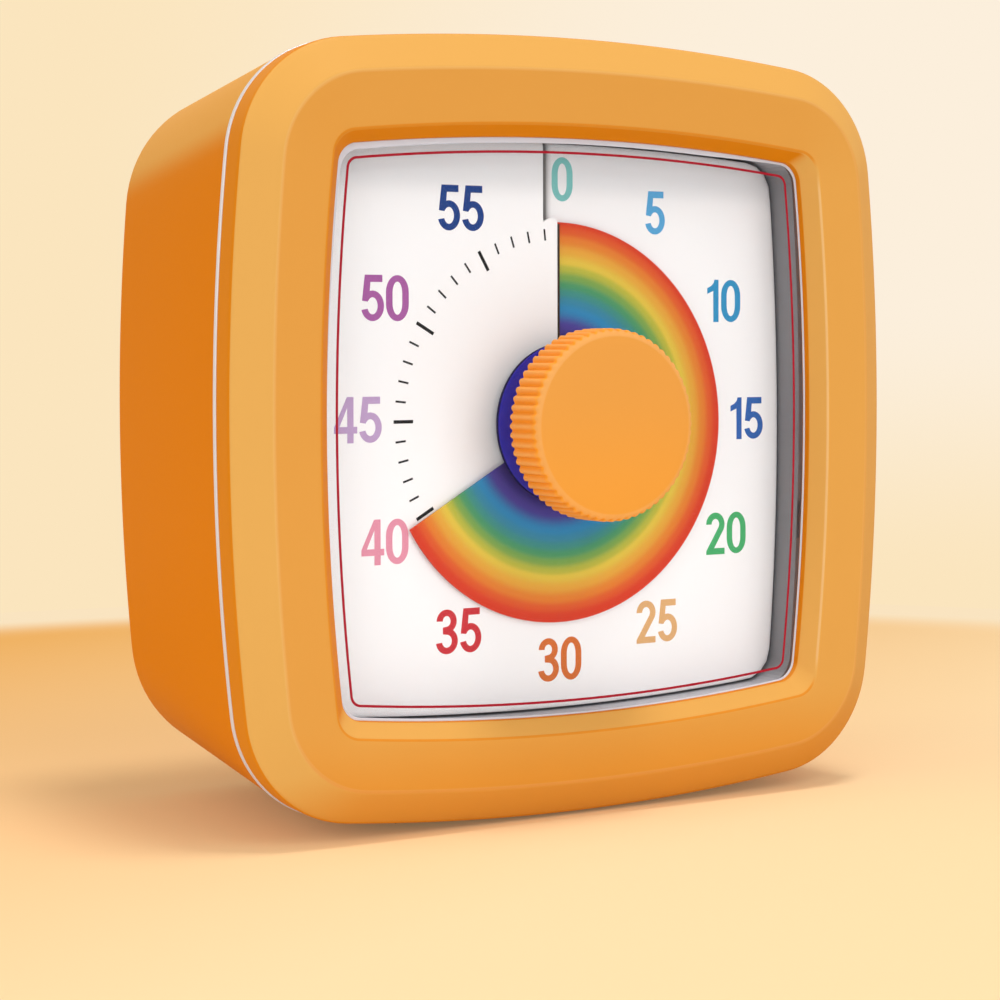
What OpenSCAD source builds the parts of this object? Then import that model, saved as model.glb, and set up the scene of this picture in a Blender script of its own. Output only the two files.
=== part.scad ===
// Sixty-minute visual countdown timer: a bowed square case, a clear lens, a slit dial that winds
// a rainbow disc in and out of sight, and a knurled knob on one spindle with a quartz movement.
// +Z is up and the face looks towards -Y. Depths are counted from the mean plane of the dial:
// negative is towards the viewer, positive is towards the back.

/* [Body] */
// Width and height of the case at its widest edge
body_w = 78; // [74:0.5:84]
// Depth of the case from its front ridge to its back face
body_depth = 37.1; // [36:0.1:44]
// Radius of the outward bow of each side
body_bow = 248; // [200:1:320]
// Radius of the case's upright corners
body_corner_r = 12; // [10:0.5:13]
// How much each side draws in from the front edge to the back
rear_taper = 3; // [1:0.1:4]
// Radius of the edge between the sides and the back
rear_edge_r = 2.2; // [1.4:0.1:2.4]
// Wall thickness of the shells
wall = 1.8; // [1.4:0.1:2.2]
// How far the back cover is set in from the outer edge of the back
back_cover_inset = 2.5; // [2.4:0.05:3]

/* [Bezel] */
// Width of the sloping band round the bezel
slope_w = 3.45; // [2.5:0.05:4]
// How far the sloping band falls from the ridge to the widest edge
slope_drop = 2.2; // [1.6:0.1:2.6]
// Radius of the bow of the ridge between the slope and the flat face
ridge_bow = 258; // [200:1:320]
// Corner radius of that ridge
ridge_corner_r = 9.3; // [8:0.1:11]
// Depth of the bezel's side from the widest edge to its back edge
bezel_side = 3.2; // [2.9:0.05:4]
// How much narrower each side is at the bezel's back edge
side_flare = 0.13; // [0:0.01:0.3]
// How far the flat face dishes in from the ridge to the bevel
face_dish = 0.26; // [0:0.01:0.5]
// Width of the bezel from its widest edge to the window
bezel_w = 10; // [9.5:0.1:11]
// Radius of the bow of the window's sides
window_bow = 235; // [200:1:300]
// Corner radius of the window
window_corner_r = 3; // [2.5:0.1:4.5]
// Width of the bevel round the window
bevel_w = 1.37; // [1:0.01:1.6]
// Depth of the bevel round the window
bevel_drop = 1.6; // [1.2:0.1:2]
// Thickness of the lip that holds the lens in
lip_t = 0.7; // [0.5:0.05:1]
// Width of the wall round the lens pocket
pocket_wall = 1.25; // [1:0.05:1.5]

/* [Trim ring] */
// Thickness of the silver ring between the two shells
trim_t = 0.6; // [0.3:0.05:0.8]
// Width of the silver ring
trim_w = 1.7; // [1.2:0.1:1.8]

/* [Lens] */
// Thickness of the clear lens
lens_t = 1.2; // [0.8:0.1:1.6]
// How far the lens runs behind the lip on each side
lens_overlap = 0.6; // [0.4:0.05:0.8]
// Free depth between the hub's flange and the lens
lens_room = 1; // [0.6:0.1:1.6]

/* [Dial] */
// Gap between the dial's edge and the wall of the inner frame
dial_gap = 0.4; // [0.3:0.1:1.4]
// Radius of the bow of the dial's sides
dial_bow = 300; // [260:1:400]
// Corner radius of the dial
dial_corner_r = 6.2; // [5:0.1:7]
// Thickness of the dial sheet
dial_t = 0.4; // [0.3:0.05:0.5]
// How far the dial climbs in one turn, from 0 to 60 minutes
ramp_pitch = 1.2; // [1.2:0.05:1.6]
// Height of the spindle above the middle of the case
axis_rise = 0.45; // [0:0.05:0.8]
// How far the raised end of the dial stops short of the 12 o'clock line
step_back = 1.6; // [1.2:0.1:2.2]
// Width of the wall that carries the edge of the dial
skirt_w = 0.8; // [0.6:0.05:1.2]

/* [Disc] */
// Radius of the rainbow disc
disc_r = 20.3; // [18:0.1:21]
// Thickness of the rainbow disc
film_t = 0.2; // [0.15:0.01:0.25]
// Minutes of the disc that show at rest
shown_minutes = 40; // [5:5:55]

/* [Hub and knob] */
// Radius of the hub's flange in front of the disc
flange_r = 8.2; // [7.5:0.1:9]
// Thickness of the hub's flange
flange_t = 0.5; // [0.4:0.05:0.8]
// Radius of the hub's tube
hub_r = 4.2; // [3.5:0.1:5]
// Radius of the knob over its ridges
knob_r = 9.6; // [9:0.1:11]
// Depth of the knob's cap
knob_depth = 4.75; // [4:0.05:6]
// Free depth between the lens and the knob's cap
knob_gap = 1.95; // [1:0.05:2.5]
// Number of grip ridges round the knob
ridge_count = 64; // [48:1:72]
// Height of the grip ridges
ridge_h = 0.32; // [0.2:0.02:0.4]
// Radius of the knob's front edge
knob_edge_r = 0.8; // [0.5:0.1:1.2]
// Radius of the knob's shank through the lens
shank_r = 5.8; // [5:0.1:6.5]
// Radius of the steel spindle
spindle_r = 1.5; // [1.2:0.1:1.8]

/* [Movement] */
// Width of the movement's box
movement_w = 50; // [49:0.2:51]
// Height of the movement's box
movement_h = 36; // [35.8:0.1:36.4]
// Depth of the movement's box behind its cover
movement_d = 11.5; // [11.4:0.1:12.5]
// Wall of the movement's box and cover
movement_wall = 1.2; // [1:0.05:1.4]
// Tooth module of the centre wheel
centre_module = 0.36; // [0.34:0.01:0.37]
// Tooth module of the second wheel
second_module = 0.3; // [0.28:0.01:0.31]
// Tooth module of the third wheel
third_module = 0.2; // [0.19:0.01:0.21]
// Radius of the wheels' pivots
pivot_r = 0.5; // [0.4:0.05:0.6]
// Radius of the rotor's magnet
rotor_r = 2.5; // [2:0.1:2.8]

/* [Power] */
// Radius of the battery cell
cell_r = 7.25; // [7:0.05:7.25]
// Length of the battery cell without its button
cell_len = 49.5; // [48:0.5:49.5]
// Height of the cell's button contact
button_len = 1; // [0.8:0.1:1.2]
// Free length for the spring contact
spring_room = 2.6; // [2.2:0.1:2.8]
// Thickness of the contact plates
contact_t = 0.4; // [0.3:0.05:0.5]
// Thickness of the battery door
door_t = 1.6; // [1.4:0.1:1.8]

/* [Feet and screws] */
// Width of each rubber foot strip
foot_w = 5; // [4:0.5:7]
// Length of each rubber foot strip
foot_len = 25; // [18:0.5:26]
// Distance of each foot strip's middle line from the middle of the case
foot_x = 16; // [12:0.5:18]
// How far the feet hold the case's lowest edge above the table
foot_lift = 0.3; // [0.2:0.05:0.8]
// Radius of the case screws' shanks
screw_r = 1; // [0.8:0.05:1.1]
// Radius of the case screws' heads
screw_head_r = 1.8; // [1.6:0.05:1.8]
// Thickness of the case screws' heads
screw_head_t = 1.2; // [1:0.1:1.4]

/* [Clearances] */
// Gap between parts that move past each other
run_gap = 0.3; // [0.3:0.02:0.36]
// Radial play of a shaft in its bearing
bearing_play = 0.05; // [0.02:0.01:0.08]
// Gap round a part that drops into its seat
seat_gap = 0.15; // [0.1:0.01:0.2]

/* [Hidden] */
$fn = 48;

// Points along each side and round each corner of a bowed outline
side_steps = 12;
corner_steps = 9;
ring_n = 4 * (side_steps + corner_steps);
tiny = 0.01;

// Depths along the axis, from the mean plane of the dial
flange_back = -(ramp_pitch + film_t / 2 + run_gap);
flange_front = flange_back - flange_t;
lens_back = flange_front - lens_room;
lens_front = lens_back - lens_t;
window_front = lens_front - lip_t;
face_front = window_front - bevel_drop;
ridge_front = face_front - face_dish;
edge_front = ridge_front + slope_drop;
trim_front = edge_front + bezel_side;
shell_front = trim_front + trim_t;
back_face = ridge_front + body_depth;
knob_back = lens_front - knob_gap;
knob_front = knob_back - knob_depth;
washer_front = ramp_pitch + film_t / 2 + run_gap;
washer_back = washer_front + flange_t;
frame_floor_t = 1.2;
floor_front = washer_back + run_gap;
floor_back = floor_front + frame_floor_t;

// Half widths of the outlines
half_w = body_w / 2;
window_half = half_w - bezel_w;
bevel_half = window_half + bevel_w;
ridge_half = half_w - slope_w;
trim_half = half_w - side_flare;
lens_half = window_half + lens_overlap;
pocket_half = lens_half + seat_gap;
pocket_out = pocket_half + pocket_wall;
frame_in = window_half + 0.2;
frame_wall = 1.6;
frame_half = frame_in + frame_wall;
dial_half = frame_in - dial_gap;

// Where the shared frame lies: middle of the case over the origin, feet on the ground
dial_y = -(knob_front + back_face) / 2;
body_z = half_w + foot_lift;
axis_z = body_z + axis_rise;
shown_angle = shown_minutes * 6;

// Bezel screws in the corners
corner_screw = frame_half - 0.8;
corner_boss_r = 2.1;
back_boss_r = 2.6;
back_boss_end = floor_back + 4.4;
well_r = screw_head_r + 0.3;
well_wall = 1;
well_floor = 1.2;
pilot_r = screw_r - 0.15;

// Teeth of the wheels and of the pinions that drive them, and how far a tooth rises above the
// pitch circle and falls below it, in modules
wheel_teeth = 60;
pinion_teeth = 10;
tooth_rise = 0.8;
tooth_fall = 1.15;

// Movement, with its cover against the back of the frame
cover_front = floor_back + 0.6;
cover_back = cover_front + movement_wall;
base_back = cover_back + movement_d;
base_floor = base_back - movement_wall;
movement_low = -(wheel_teeth / 2 + tooth_rise) * centre_module - run_gap - 0.1 - movement_wall;
bearing_r = spindle_r + bearing_play;
cover_boss_r = 4;
cover_boss_front = floor_back - 0.4;
floor_hole_r = hub_r + 0.4;
ear_x = movement_w / 2 + 3;
ear_z = 3;
ear_front = floor_back + 4.4;
ear_t = 1.2;

// Wheel train: each arbor lies one mesh distance from the one before
centre_mesh = (wheel_teeth + pinion_teeth) * centre_module / 2;
second_mesh = (wheel_teeth + pinion_teeth) * second_module / 2;
third_mesh = (wheel_teeth + pinion_teeth) * third_module / 2;
second_dir = 180;
third_dir = 90;
rotor_dir = 40;
second_at = centre_mesh * [cos(second_dir), sin(second_dir)];
third_at = second_at + second_mesh * [cos(third_dir), sin(third_dir)];
rotor_at = third_at + third_mesh * [cos(rotor_dir), sin(rotor_dir)];
collar_front = cover_back + 0.8;
centre_front = collar_front + 0.6;
centre_back = centre_front + 1;
clutch_back = centre_back + 0.8;
clip_back = clutch_back + 0.6;
second_front = clip_back + 0.5;
second_back = second_front + 0.8;
third_back = base_floor - 0.6;
third_front = third_back - 0.8;
pinion_lap = 0.2;
stator_front = second_back + 0.9;
stator_back = stator_front + 0.8;
rotor_pivot_r = pivot_r * 0.7;
coil_z = third_at[1] + 6.8;
coil_x = [-2, 17];
coil_r = 2.4;
coil_flange_r = 2.9;
coil_y = (stator_front + stator_back) / 2;
core_w = 2.6;
stator_end = coil_x[1] + 4;

// Circuit board on posts behind the movement
board_size = [32, 20];
board_z = 8;
board_front = base_back + 1;
board_back = board_front + 1;
board_screw_x = board_size[0] / 2 - 2;
board_post_r = 2.2;

// Battery bay low in the back, with the cell lying across the case
bay_half_h = cell_r + 0.35;
bay_wall = 1.2;
bay_z = movement_low + axis_rise - run_gap - bay_wall - bay_half_h;
bay_top = bay_z + bay_half_h;
bay_low = bay_z - bay_half_h;
bay_left = -(cell_len + button_len + spring_room + 2 * contact_t) / 2;
bay_right = -bay_left;
cell_y = back_face - door_t - 0.6 - cell_r;
bay_front = cell_y - cell_r - 0.4;
cell_left = bay_left + contact_t + spring_room;
door_half_h = bay_half_h - 0.3;
hinge_r = door_t / 2;
hinge_z = bay_z - door_half_h + hinge_r;
hinge_pin_r = 0.5;
hinge_pin_len = 0.7;
tab_top = bay_top + bay_wall + 1.4;
tab_w = 3;

// Case screws from the back: two near the upper corners and two above the battery bay
back_screw_x = max(frame_half - 2, movement_w / 2 + run_gap + well_r + well_wall);
upper_screw_z = frame_half - 9.8;
lower_screw_z = tab_top + run_gap + well_r + well_wall;
back_screws = [for (z = [upper_screw_z, lower_screw_z]) for (s = [-1, 1]) [s * back_screw_x, z]];
case_screw_len = 5;
frame_screw_len = 6;

// Buzzer behind its sound holes, and the volume switch
buzzer_at = [-17, 8];
buzzer_r = 10;
buzzer_t = 2.6;
sound_hole_r = 0.75;
sound_pitch = 3;
switch_at = [17, 8];
switch_size = [9, 5];
switch_depth = 3.6;
switch_travel = 4;
slider_size = [3, 2.2];
recess_depth = 1;
recess_size = [slider_size[0] + switch_travel + 2, slider_size[1] + 2];
slot_size = [slider_size[0] + switch_travel + 2 * run_gap, slider_size[1] + 2 * run_gap];
back_inside = back_face - wall;
lead_r = 0.4;

// ---- Outlines ----------------------------------------------------------------------------

// Centre of the corner arc of a bowed square
function corner_at(a, bow, r) =
    let(o = bow - a, d = bow - r) (sqrt(2 * d * d - o * o) - o) / 2;

// One quarter of a bowed square with round corners, starting low on the right side
function quarter(a, bow, r) =
    let(c = corner_at(a, bow, r), o = bow - a, t = atan2(c, c + o))
    concat(
        [for (i = [0 : side_steps - 1]) let(u = t * (2 * i / side_steps - 1))
            [bow * cos(u) - o, bow * sin(u)]],
        [for (i = [0 : corner_steps - 1]) let(u = t + (90 - 2 * t) * i / corner_steps)
            [c + r * cos(u), c + r * sin(u)]]
    );

function turned(p, q) = q == 0 ? p : turned([-p[1], p[0]], q - 1);

function bowed_square(a, bow, r) =
    let(base = quarter(a, bow, r)) [for (q = [0 : 3]) for (p = base) turned(p, q)];

// One ring of points: half width, bow, corner radius and depth
function ring(s) = [for (p = bowed_square(s[0], s[1], s[2])) [p[0], s[3], p[1]]];

function wrap(k, i) = k * ring_n + i % ring_n;

function band_faces(k0, k1) = [
    for (i = [0 : ring_n - 1]) for (f = [
        [wrap(k0, i), wrap(k1, i), wrap(k1, i + 1)],
        [wrap(k0, i), wrap(k1, i + 1), wrap(k0, i + 1)]
    ]) f
];

// A closed frame that carries one section round the whole outline
module frame_loft(sections) {
    n = len(sections);
    polyhedron(
        points = [for (s = sections) for (p = ring(s)) p],
        faces = [for (k = [0 : n - 1]) for (f = band_faces(k, (k + 1) % n)) f],
        convexity = 8
    );
}

module at_body() {
    translate([0, dial_y, body_z]) children();
}

module at_axis() {
    translate([0, dial_y, axis_z]) children();
}

// A flat shape drawn in X and Z, running from one depth to another
module slab(front, back) {
    translate([0, back, 0]) rotate([90, 0, 0]) linear_extrude(back - front) children();
}

module rod(r, front, back, at = [0, 0]) {
    translate([at[0], back, at[1]]) rotate([90, 0, 0]) cylinder(r = r, h = back - front);
}

module block(x, y, z) {
    translate([x[0], y[0], z[0]]) cube([x[1] - x[0], y[1] - y[0], z[1] - z[0]]);
}

module outline(a, bow, r) {
    polygon(bowed_square(a, bow, r));
}

module at_corners(x, z) {
    for (sx = [-1, 1]) for (sz = [-1, 1]) translate([sx * x, 0, sz * z]) children();
}

// ---- Case --------------------------------------------------------------------------------

module front_bezel() {
    edge_r = 0.5;
    inner_front = ridge_front + wall;
    inner_half = half_w - wall - 0.2;
    color([0.89, 0.66, 0.35]) at_body() {
        frame_loft([
            [trim_half, body_bow, body_corner_r, trim_front],
            [half_w, body_bow, body_corner_r, edge_front + edge_r],
            [half_w - 0.13, body_bow, body_corner_r, edge_front],
            [half_w - edge_r, body_bow, body_corner_r - 0.4, edge_front - 0.3],
            [ridge_half + 0.4, ridge_bow, ridge_corner_r + 0.3, ridge_front + 0.2],
            [ridge_half, ridge_bow, ridge_corner_r, ridge_front],
            [ridge_half - 0.5, ridge_bow, ridge_corner_r - 0.4, ridge_front + 0.02],
            [bevel_half + 0.3, window_bow, window_corner_r + 1.6, face_front],
            [bevel_half, window_bow, window_corner_r + 1.4, face_front + 0.12],
            [window_half, window_bow, window_corner_r, window_front],
            [window_half, window_bow, window_corner_r, lens_front],
            [pocket_half, window_bow, window_corner_r + 0.7, lens_front],
            [pocket_half, window_bow, window_corner_r + 0.7, lens_back],
            [pocket_out, window_bow, window_corner_r + 2, lens_back],
            [pocket_out, window_bow, window_corner_r + 2, inner_front],
            [ridge_half - 0.4, ridge_bow, ridge_corner_r - 0.8, inner_front],
            [inner_half, body_bow, body_corner_r - wall, edge_front + wall / 2],
            [inner_half, body_bow, body_corner_r - wall, trim_front]
        ]);
        difference() {
            at_corners(corner_screw, corner_screw) rod(corner_boss_r, inner_front - 0.5, floor_front - 1.2);
            at_corners(corner_screw, corner_screw) rod(pilot_r, lens_front, floor_front);
        }
    }
}

module trim_ring() {
    color([0.86, 0.85, 0.86]) at_body() slab(trim_front, shell_front) difference() {
        outline(trim_half + 0.05, body_bow, body_corner_r);
        outline(trim_half - trim_w, body_bow, body_corner_r - trim_w);
    }
}

// Half width, bow and corner radius of the rear shell at a depth, drawn in by an inset
function shell_at(y, inset) =
    let(f = (y - shell_front) / (back_face - shell_front))
    [trim_half - rear_taper * f - inset, body_bow + 16 * f - inset, body_corner_r + 0.9 * f - inset];

function shell_section(y, inset) = concat(shell_at(y, inset), [y]);

// Width of the ledge inside the shell that the back cover rests on
ledge_w = 0.9;

// The rounded edge round the back, as rings from the side wall to the flat back
rounded_edge = [
    for (t = [0 : 15 : 90]) let(y = back_face - rear_edge_r * (1 - sin(t)))
        shell_section(y, rear_edge_r * (1 - cos(t)))
];

module rear_shell() {
    ledge_front = back_inside - 1.4;
    rabbet = back_cover_inset - seat_gap;
    color([0.85, 0.47, 0.09]) at_body() frame_loft(concat(
        [shell_section(shell_front, wall), shell_section(ledge_front - 1, wall)],
        [shell_section(ledge_front, rabbet + ledge_w), shell_section(back_inside, rabbet + ledge_w)],
        [shell_section(back_inside, rabbet), shell_section(back_face, rabbet)],
        [for (i = [len(rounded_edge) - 1 : -1 : 0]) rounded_edge[i]],
        [shell_section(shell_front, 0)]
    ));
}

module sound_holes() {
    ring_counts = [1, 6, 12];
    for (k = [0 : 2]) for (i = [0 : ring_counts[k] - 1]) {
        t = 360 * i / ring_counts[k];
        rod(sound_hole_r, back_inside - 1, back_face + 1,
            [buzzer_at[0] + k * sound_pitch * cos(t), buzzer_at[1] + k * sound_pitch * sin(t)]);
    }
}

module back_cover_plate(front, back, inset) {
    s = shell_at(back_face, inset);
    slab(front, back) outline(s[0], s[1], s[2]);
}

// Slots in the bay's top wall that let the tabs of the contacts through
module tab_slots() {
    slot_w = contact_t + seat_gap;
    slot_half = tab_w / 2 + seat_gap;
    for (x = [bay_left, bay_right - slot_w]) block([x, x + slot_w], [cell_y - slot_half, cell_y + slot_half],
        [bay_top - 1, bay_top + bay_wall + 1]);
}

module back_cover() {
    inner_inset = back_cover_inset + ledge_w;
    overlap_back = back_face - 0.5;
    color([0.85, 0.47, 0.09]) at_body() difference() {
        union() {
            back_cover_plate(back_inside, back_face, back_cover_inset);
            intersection() {
                back_cover_plate(bay_front - bay_wall, overlap_back, inner_inset);
                block([bay_left - bay_wall, bay_right + bay_wall], [bay_front - bay_wall, overlap_back],
                      [bay_low - bay_wall, bay_top + bay_wall]);
            }
            for (p = back_screws) rod(well_r + well_wall, back_boss_end, overlap_back, p);
            rod(buzzer_r + 1.2, back_inside - buzzer_t - 0.6, overlap_back, buzzer_at);
        }
        block([bay_left, bay_right], [bay_front, back_face + 1], [bay_low, bay_top]);
        along_x([bay_left - hinge_pin_len - seat_gap, bay_right + hinge_pin_len + seat_gap],
                [back_face - hinge_r, hinge_z]) circle(r = hinge_pin_r + bearing_play);
        tab_slots();
        for (p = back_screws) {
            rod(well_r, back_boss_end + well_floor, back_face + 1, p);
            rod(screw_r + seat_gap, back_boss_end - 1, back_face + 1, p);
        }
        rod(buzzer_r + seat_gap, back_inside - buzzer_t - 1.6, back_inside, buzzer_at);
        sound_holes();
        translate([switch_at[0], 0, switch_at[1]]) {
            block([-recess_size[0] / 2, recess_size[0] / 2], [back_face - recess_depth, back_face + 1],
                  [-recess_size[1] / 2, recess_size[1] / 2]);
            block([-slot_size[0] / 2, slot_size[0] / 2], [back_inside - 1, back_face + 1],
                  [-slot_size[1] / 2, slot_size[1] / 2]);
        }
    }
}

module lens() {
    color([0.85, 0.92, 0.95, 0.3]) at_body() slab(lens_front, lens_back) difference() {
        outline(lens_half, window_bow, window_corner_r + 0.6);
        translate([0, axis_rise]) circle(r = shank_r + 0.5);
    }
}

module inner_frame() {
    ear_r = 3.2;
    color([0.5, 0.5, 0.51]) at_body() difference() {
        union() {
            slab(lens_back, floor_back) difference() {
                outline(frame_half, dial_bow, window_corner_r + 1.8);
                outline(frame_in, dial_bow, window_corner_r + 0.2);
            }
            slab(floor_front, floor_back) outline(frame_half - 0.5, dial_bow, window_corner_r + 1.3);
            at_corners(corner_screw, corner_screw) rod(ear_r, floor_front - 1.2, floor_back);
            at_corners(corner_screw - 1.8, corner_screw - 1.8) rod(ear_r, floor_front, floor_back);
            for (p = back_screws) rod(back_boss_r, floor_front, back_boss_end, p);
            for (s = [-1, 1]) rod(back_boss_r, floor_front, ear_front, [s * ear_x, ear_z]);
        }
        rod(floor_hole_r, floor_front - 1, floor_back + 1, [0, axis_rise]);
        at_corners(corner_screw, corner_screw) rod(screw_r + seat_gap, floor_front - 2, floor_back + 1);
        for (p = back_screws) rod(pilot_r, floor_back, back_boss_end + 1, p);
        for (s = [-1, 1]) rod(pilot_r, floor_back, ear_front + 1, [s * ear_x, ear_z]);
    }
}

// ---- Dial and disc -----------------------------------------------------------------------

// Depth of the dial at an angle that runs clockwise from 12: it climbs towards the viewer
function ramp(t) = ramp_pitch * (0.5 - t / 360);

// Distance from the axis to a circle round c, along the direction d
function to_circle(c, r, d) = let(p = c * d) p + sqrt(p * p - c * c + r * r);

// Distance from the axis to a bowed outline that lies round the middle of the case
function to_outline(t, a, bow, r) =
    let(
        d = [sin(t), cos(t)],
        m = [0, -axis_rise],
        o = bow - a,
        sides = [for (s = [[-1, 0], [1, 0], [0, -1], [0, 1]]) to_circle(m + o * s, bow, d)],
        flat = min(sides),
        hit = flat * d - m,
        c = corner_at(a, bow, r),
        w = max(abs(hit[0]), abs(hit[1])),
        v = min(abs(hit[0]), abs(hit[1]))
    )
    atan2(v, w + o) < atan2(c, c + o) ? flat
        : to_circle(m + c * [sign(hit[0]), sign(hit[1])], r, d);

// A winding sheet: each station is a pair of points in X and Z and the two depths of the sheet
module winding(stations) {
    n = len(stations);
    side_faces = [
        for (k = [0 : n - 2]) for (e = [0 : 3])
            let(a = 4 * k + e, b = 4 * k + (e + 1) % 4)
            for (f = [[a, b, b + 4], [a, b + 4, a + 4]]) f
    ];
    polyhedron(
        points = [for (s = stations) for (p = [
            [s[0][0], s[2], s[0][1]],
            [s[1][0], s[2], s[1][1]],
            [s[1][0], s[3], s[1][1]],
            [s[0][0], s[3], s[0][1]]
        ]) p],
        faces = concat(side_faces, [[3, 2, 1, 0]], [[for (e = [0 : 3]) 4 * (n - 1) + e]]),
        convexity = 6
    );
}

function polar(r, t) = r * [sin(t), cos(t)];

function rim(t, inset = 0) = to_outline(t, dial_half - inset, dial_bow, dial_corner_r - inset);

// One station of the dial: where its inner edge, its slit and its rim lie
module dial_sheet(stations) {
    n = len(stations);
    m = 2 * len(stations[0]);
    points = [for (s = stations) for (p = concat(
        [for (q = s) q - [0, dial_t / 2, 0]],
        [for (i = [len(s) - 1 : -1 : 0]) s[i] + [0, dial_t / 2, 0]]
    )) p];
    polyhedron(
        points = points,
        faces = concat(
            [for (k = [0 : n - 2]) for (e = [0 : m - 1])
                let(a = m * k + e, b = m * k + (e + 1) % m)
                for (f = [[a, b, b + m], [a, b + m, a + m]]) f],
            [for (e = [0 : m / 2 - 2]) for (f = [
                [m - 1 - e, m - 2 - e, e + 1], [m - 1 - e, e + 1, e]
            ]) f],
            [for (e = [0 : m / 2 - 2]) let(o = m * (n - 1)) for (f = [
                [o + e, o + e + 1, o + m - 1 - e], [o + e + 1, o + m - 2 - e, o + m - 1 - e]
            ]) f]
        ),
        convexity = 6
    );
}

function on_ramp(p, t) = [p[0], ramp(t), p[1]];

// A point at a radius, as far left of 12 o'clock as x
function beside(r, x) = [-x, sqrt(r * r - x * x)];

dial_hole_r = hub_r + run_gap + 0.3;
slit_r = disc_r + run_gap;
jog = 0.4;

function dial_station(t) = [for (r = [dial_hole_r, slit_r, slit_r + jog, rim(t)]) on_ramp(polar(r, t), t)];

// The end of the dial beside the slit: radial inside the disc's edge, set back outside it
function dial_end(t, x) = [
    on_ramp(polar(dial_hole_r, t), t), on_ramp(polar(slit_r, t), t),
    on_ramp(beside(slit_r + jog, x), t), on_ramp(beside(rim(0), x), t)
];

module dial_plate() {
    dial_step = 3;
    riser_w = 0.5;
    color([0.97, 0.97, 0.97]) at_axis() {
        dial_sheet(concat(
            [dial_end(0, step_back + riser_w)],
            [for (t = [dial_step : dial_step : 360 - 2 * dial_step]) dial_station(t)],
            [dial_end(360, step_back)]
        ));
        block([-step_back - riser_w + 0.05, -step_back - 0.05], [ramp(360), ramp(0)],
              [slit_r + jog + 0.1, rim(0) - 0.1]);
    }
}

// The ramp that carries the edge of the dial, standing on the floor of the frame
module dial_seat() {
    seat_step = 3;
    color([0.5, 0.5, 0.51]) at_axis() winding([
        for (t = [seat_step : seat_step : 360 - 2 * seat_step]) [
            polar(rim(t, skirt_w + 0.2), t), polar(rim(t, 0.2), t), ramp(t) + dial_t / 2, floor_front
        ]
    ]);
}

module rainbow_disc() {
    film_step = 6;
    color([0.9, 0.5, 0.2]) at_axis() winding([
        for (t = [shown_angle - 360 : film_step : shown_angle])
            let(y = -ramp_pitch * t / 360)
            [polar(hub_r + run_gap, t), polar(disc_r, t), y - film_t / 2, y + film_t / 2]
    ]);
}

module disc_hub() {
    color([0.22, 0.14, 0.5]) at_axis() difference() {
        union() {
            rod(flange_r, flange_front, flange_back);
            rod(hub_r, flange_front, washer_back + run_gap);
            rod(hub_r - 0.6, flange_back, cover_boss_front - run_gap);
        }
        rod(spindle_r + tiny, flange_front - 1, floor_back);
    }
}

module hub_washer() {
    color([0.3, 0.3, 0.32]) at_axis() difference() {
        rod(flange_r - 1.6, washer_front, washer_back);
        rod(hub_r + tiny, washer_front - 1, washer_back + 1);
    }
}

// ---- Knob and spindle --------------------------------------------------------------------

module ridged_disc() {
    pitch = 360 / ridge_count;
    root = knob_r - ridge_h;
    polygon([
        for (i = [0 : ridge_count - 1]) for (p = [[-0.34, 0], [-0.16, 1], [0.16, 1], [0.34, 0]])
            (root + ridge_h * p[1]) * [cos(pitch * (i + p[0])), sin(pitch * (i + p[0]))]
    ]);
}

module knob() {
    root = knob_r - ridge_h;
    cap_back = knob_front + 2;
    spindle_depth = knob_front + 1.6;
    color([0.95, 0.58, 0.18]) at_axis() difference() {
        union() {
            translate([0, knob_front, 0]) rotate([-90, 0, 0]) rotate_extrude() {
                translate([0, 0]) square([root - knob_edge_r, cap_back - knob_front]);
                translate([0, knob_edge_r]) square([root, cap_back - knob_front - knob_edge_r]);
                translate([root - knob_edge_r, knob_edge_r]) circle(r = knob_edge_r);
            }
            slab(knob_front + knob_edge_r, knob_back) ridged_disc();
            rod(shank_r, knob_front + 1, flange_front);
        }
        slab(cap_back, knob_back + 1) difference() {
            circle(r = root - 1.3);
            circle(r = shank_r);
        }
        rod(spindle_r + tiny, spindle_depth, flange_front + 1);
    }
}

module spindle() {
    color([0.72, 0.73, 0.75]) at_axis() {
        rod(spindle_r, knob_front + 1.8, base_back - 0.3);
        rod(spindle_r + 1.5, collar_front, centre_front);
    }
}

module clutch_spring() {
    color([0.8, 0.66, 0.35]) at_axis() translate([0, centre_back, 0]) rotate([-90, 0, 0])
        rotate_extrude() polygon([
            [spindle_r + 0.1, 0.55], [spindle_r + 3, 0], [spindle_r + 3, 0.25], [spindle_r + 0.1, 0.8]
        ]);
}

module retaining_clip() {
    color([0.6, 0.61, 0.63]) at_axis() slab(clutch_back, clip_back) difference() {
        circle(r = spindle_r + 1.6);
        circle(r = spindle_r + tiny);
        translate([0, -spindle_r * 0.7]) polygon([[-1, 0], [1, 0], [1.6, -5], [-1.6, -5]]);
    }
}

// ---- Movement ----------------------------------------------------------------------------

// A spur gear outline with generous backlash, one tooth centred on the angle phase
module gear_shape(teeth, module_size, phase) {
    pitch = 360 / teeth;
    pitch_r = teeth * module_size / 2;
    tip = pitch_r + tooth_rise * module_size;
    root = pitch_r - tooth_fall * module_size;
    polygon([
        for (i = [0 : teeth - 1]) for (p = [[-0.26, root], [-0.09, tip], [0.09, tip], [0.26, root]])
            p[1] * [cos(phase + pitch * (i + p[0])), sin(phase + pitch * (i + p[0]))]
    ]);
}

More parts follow.
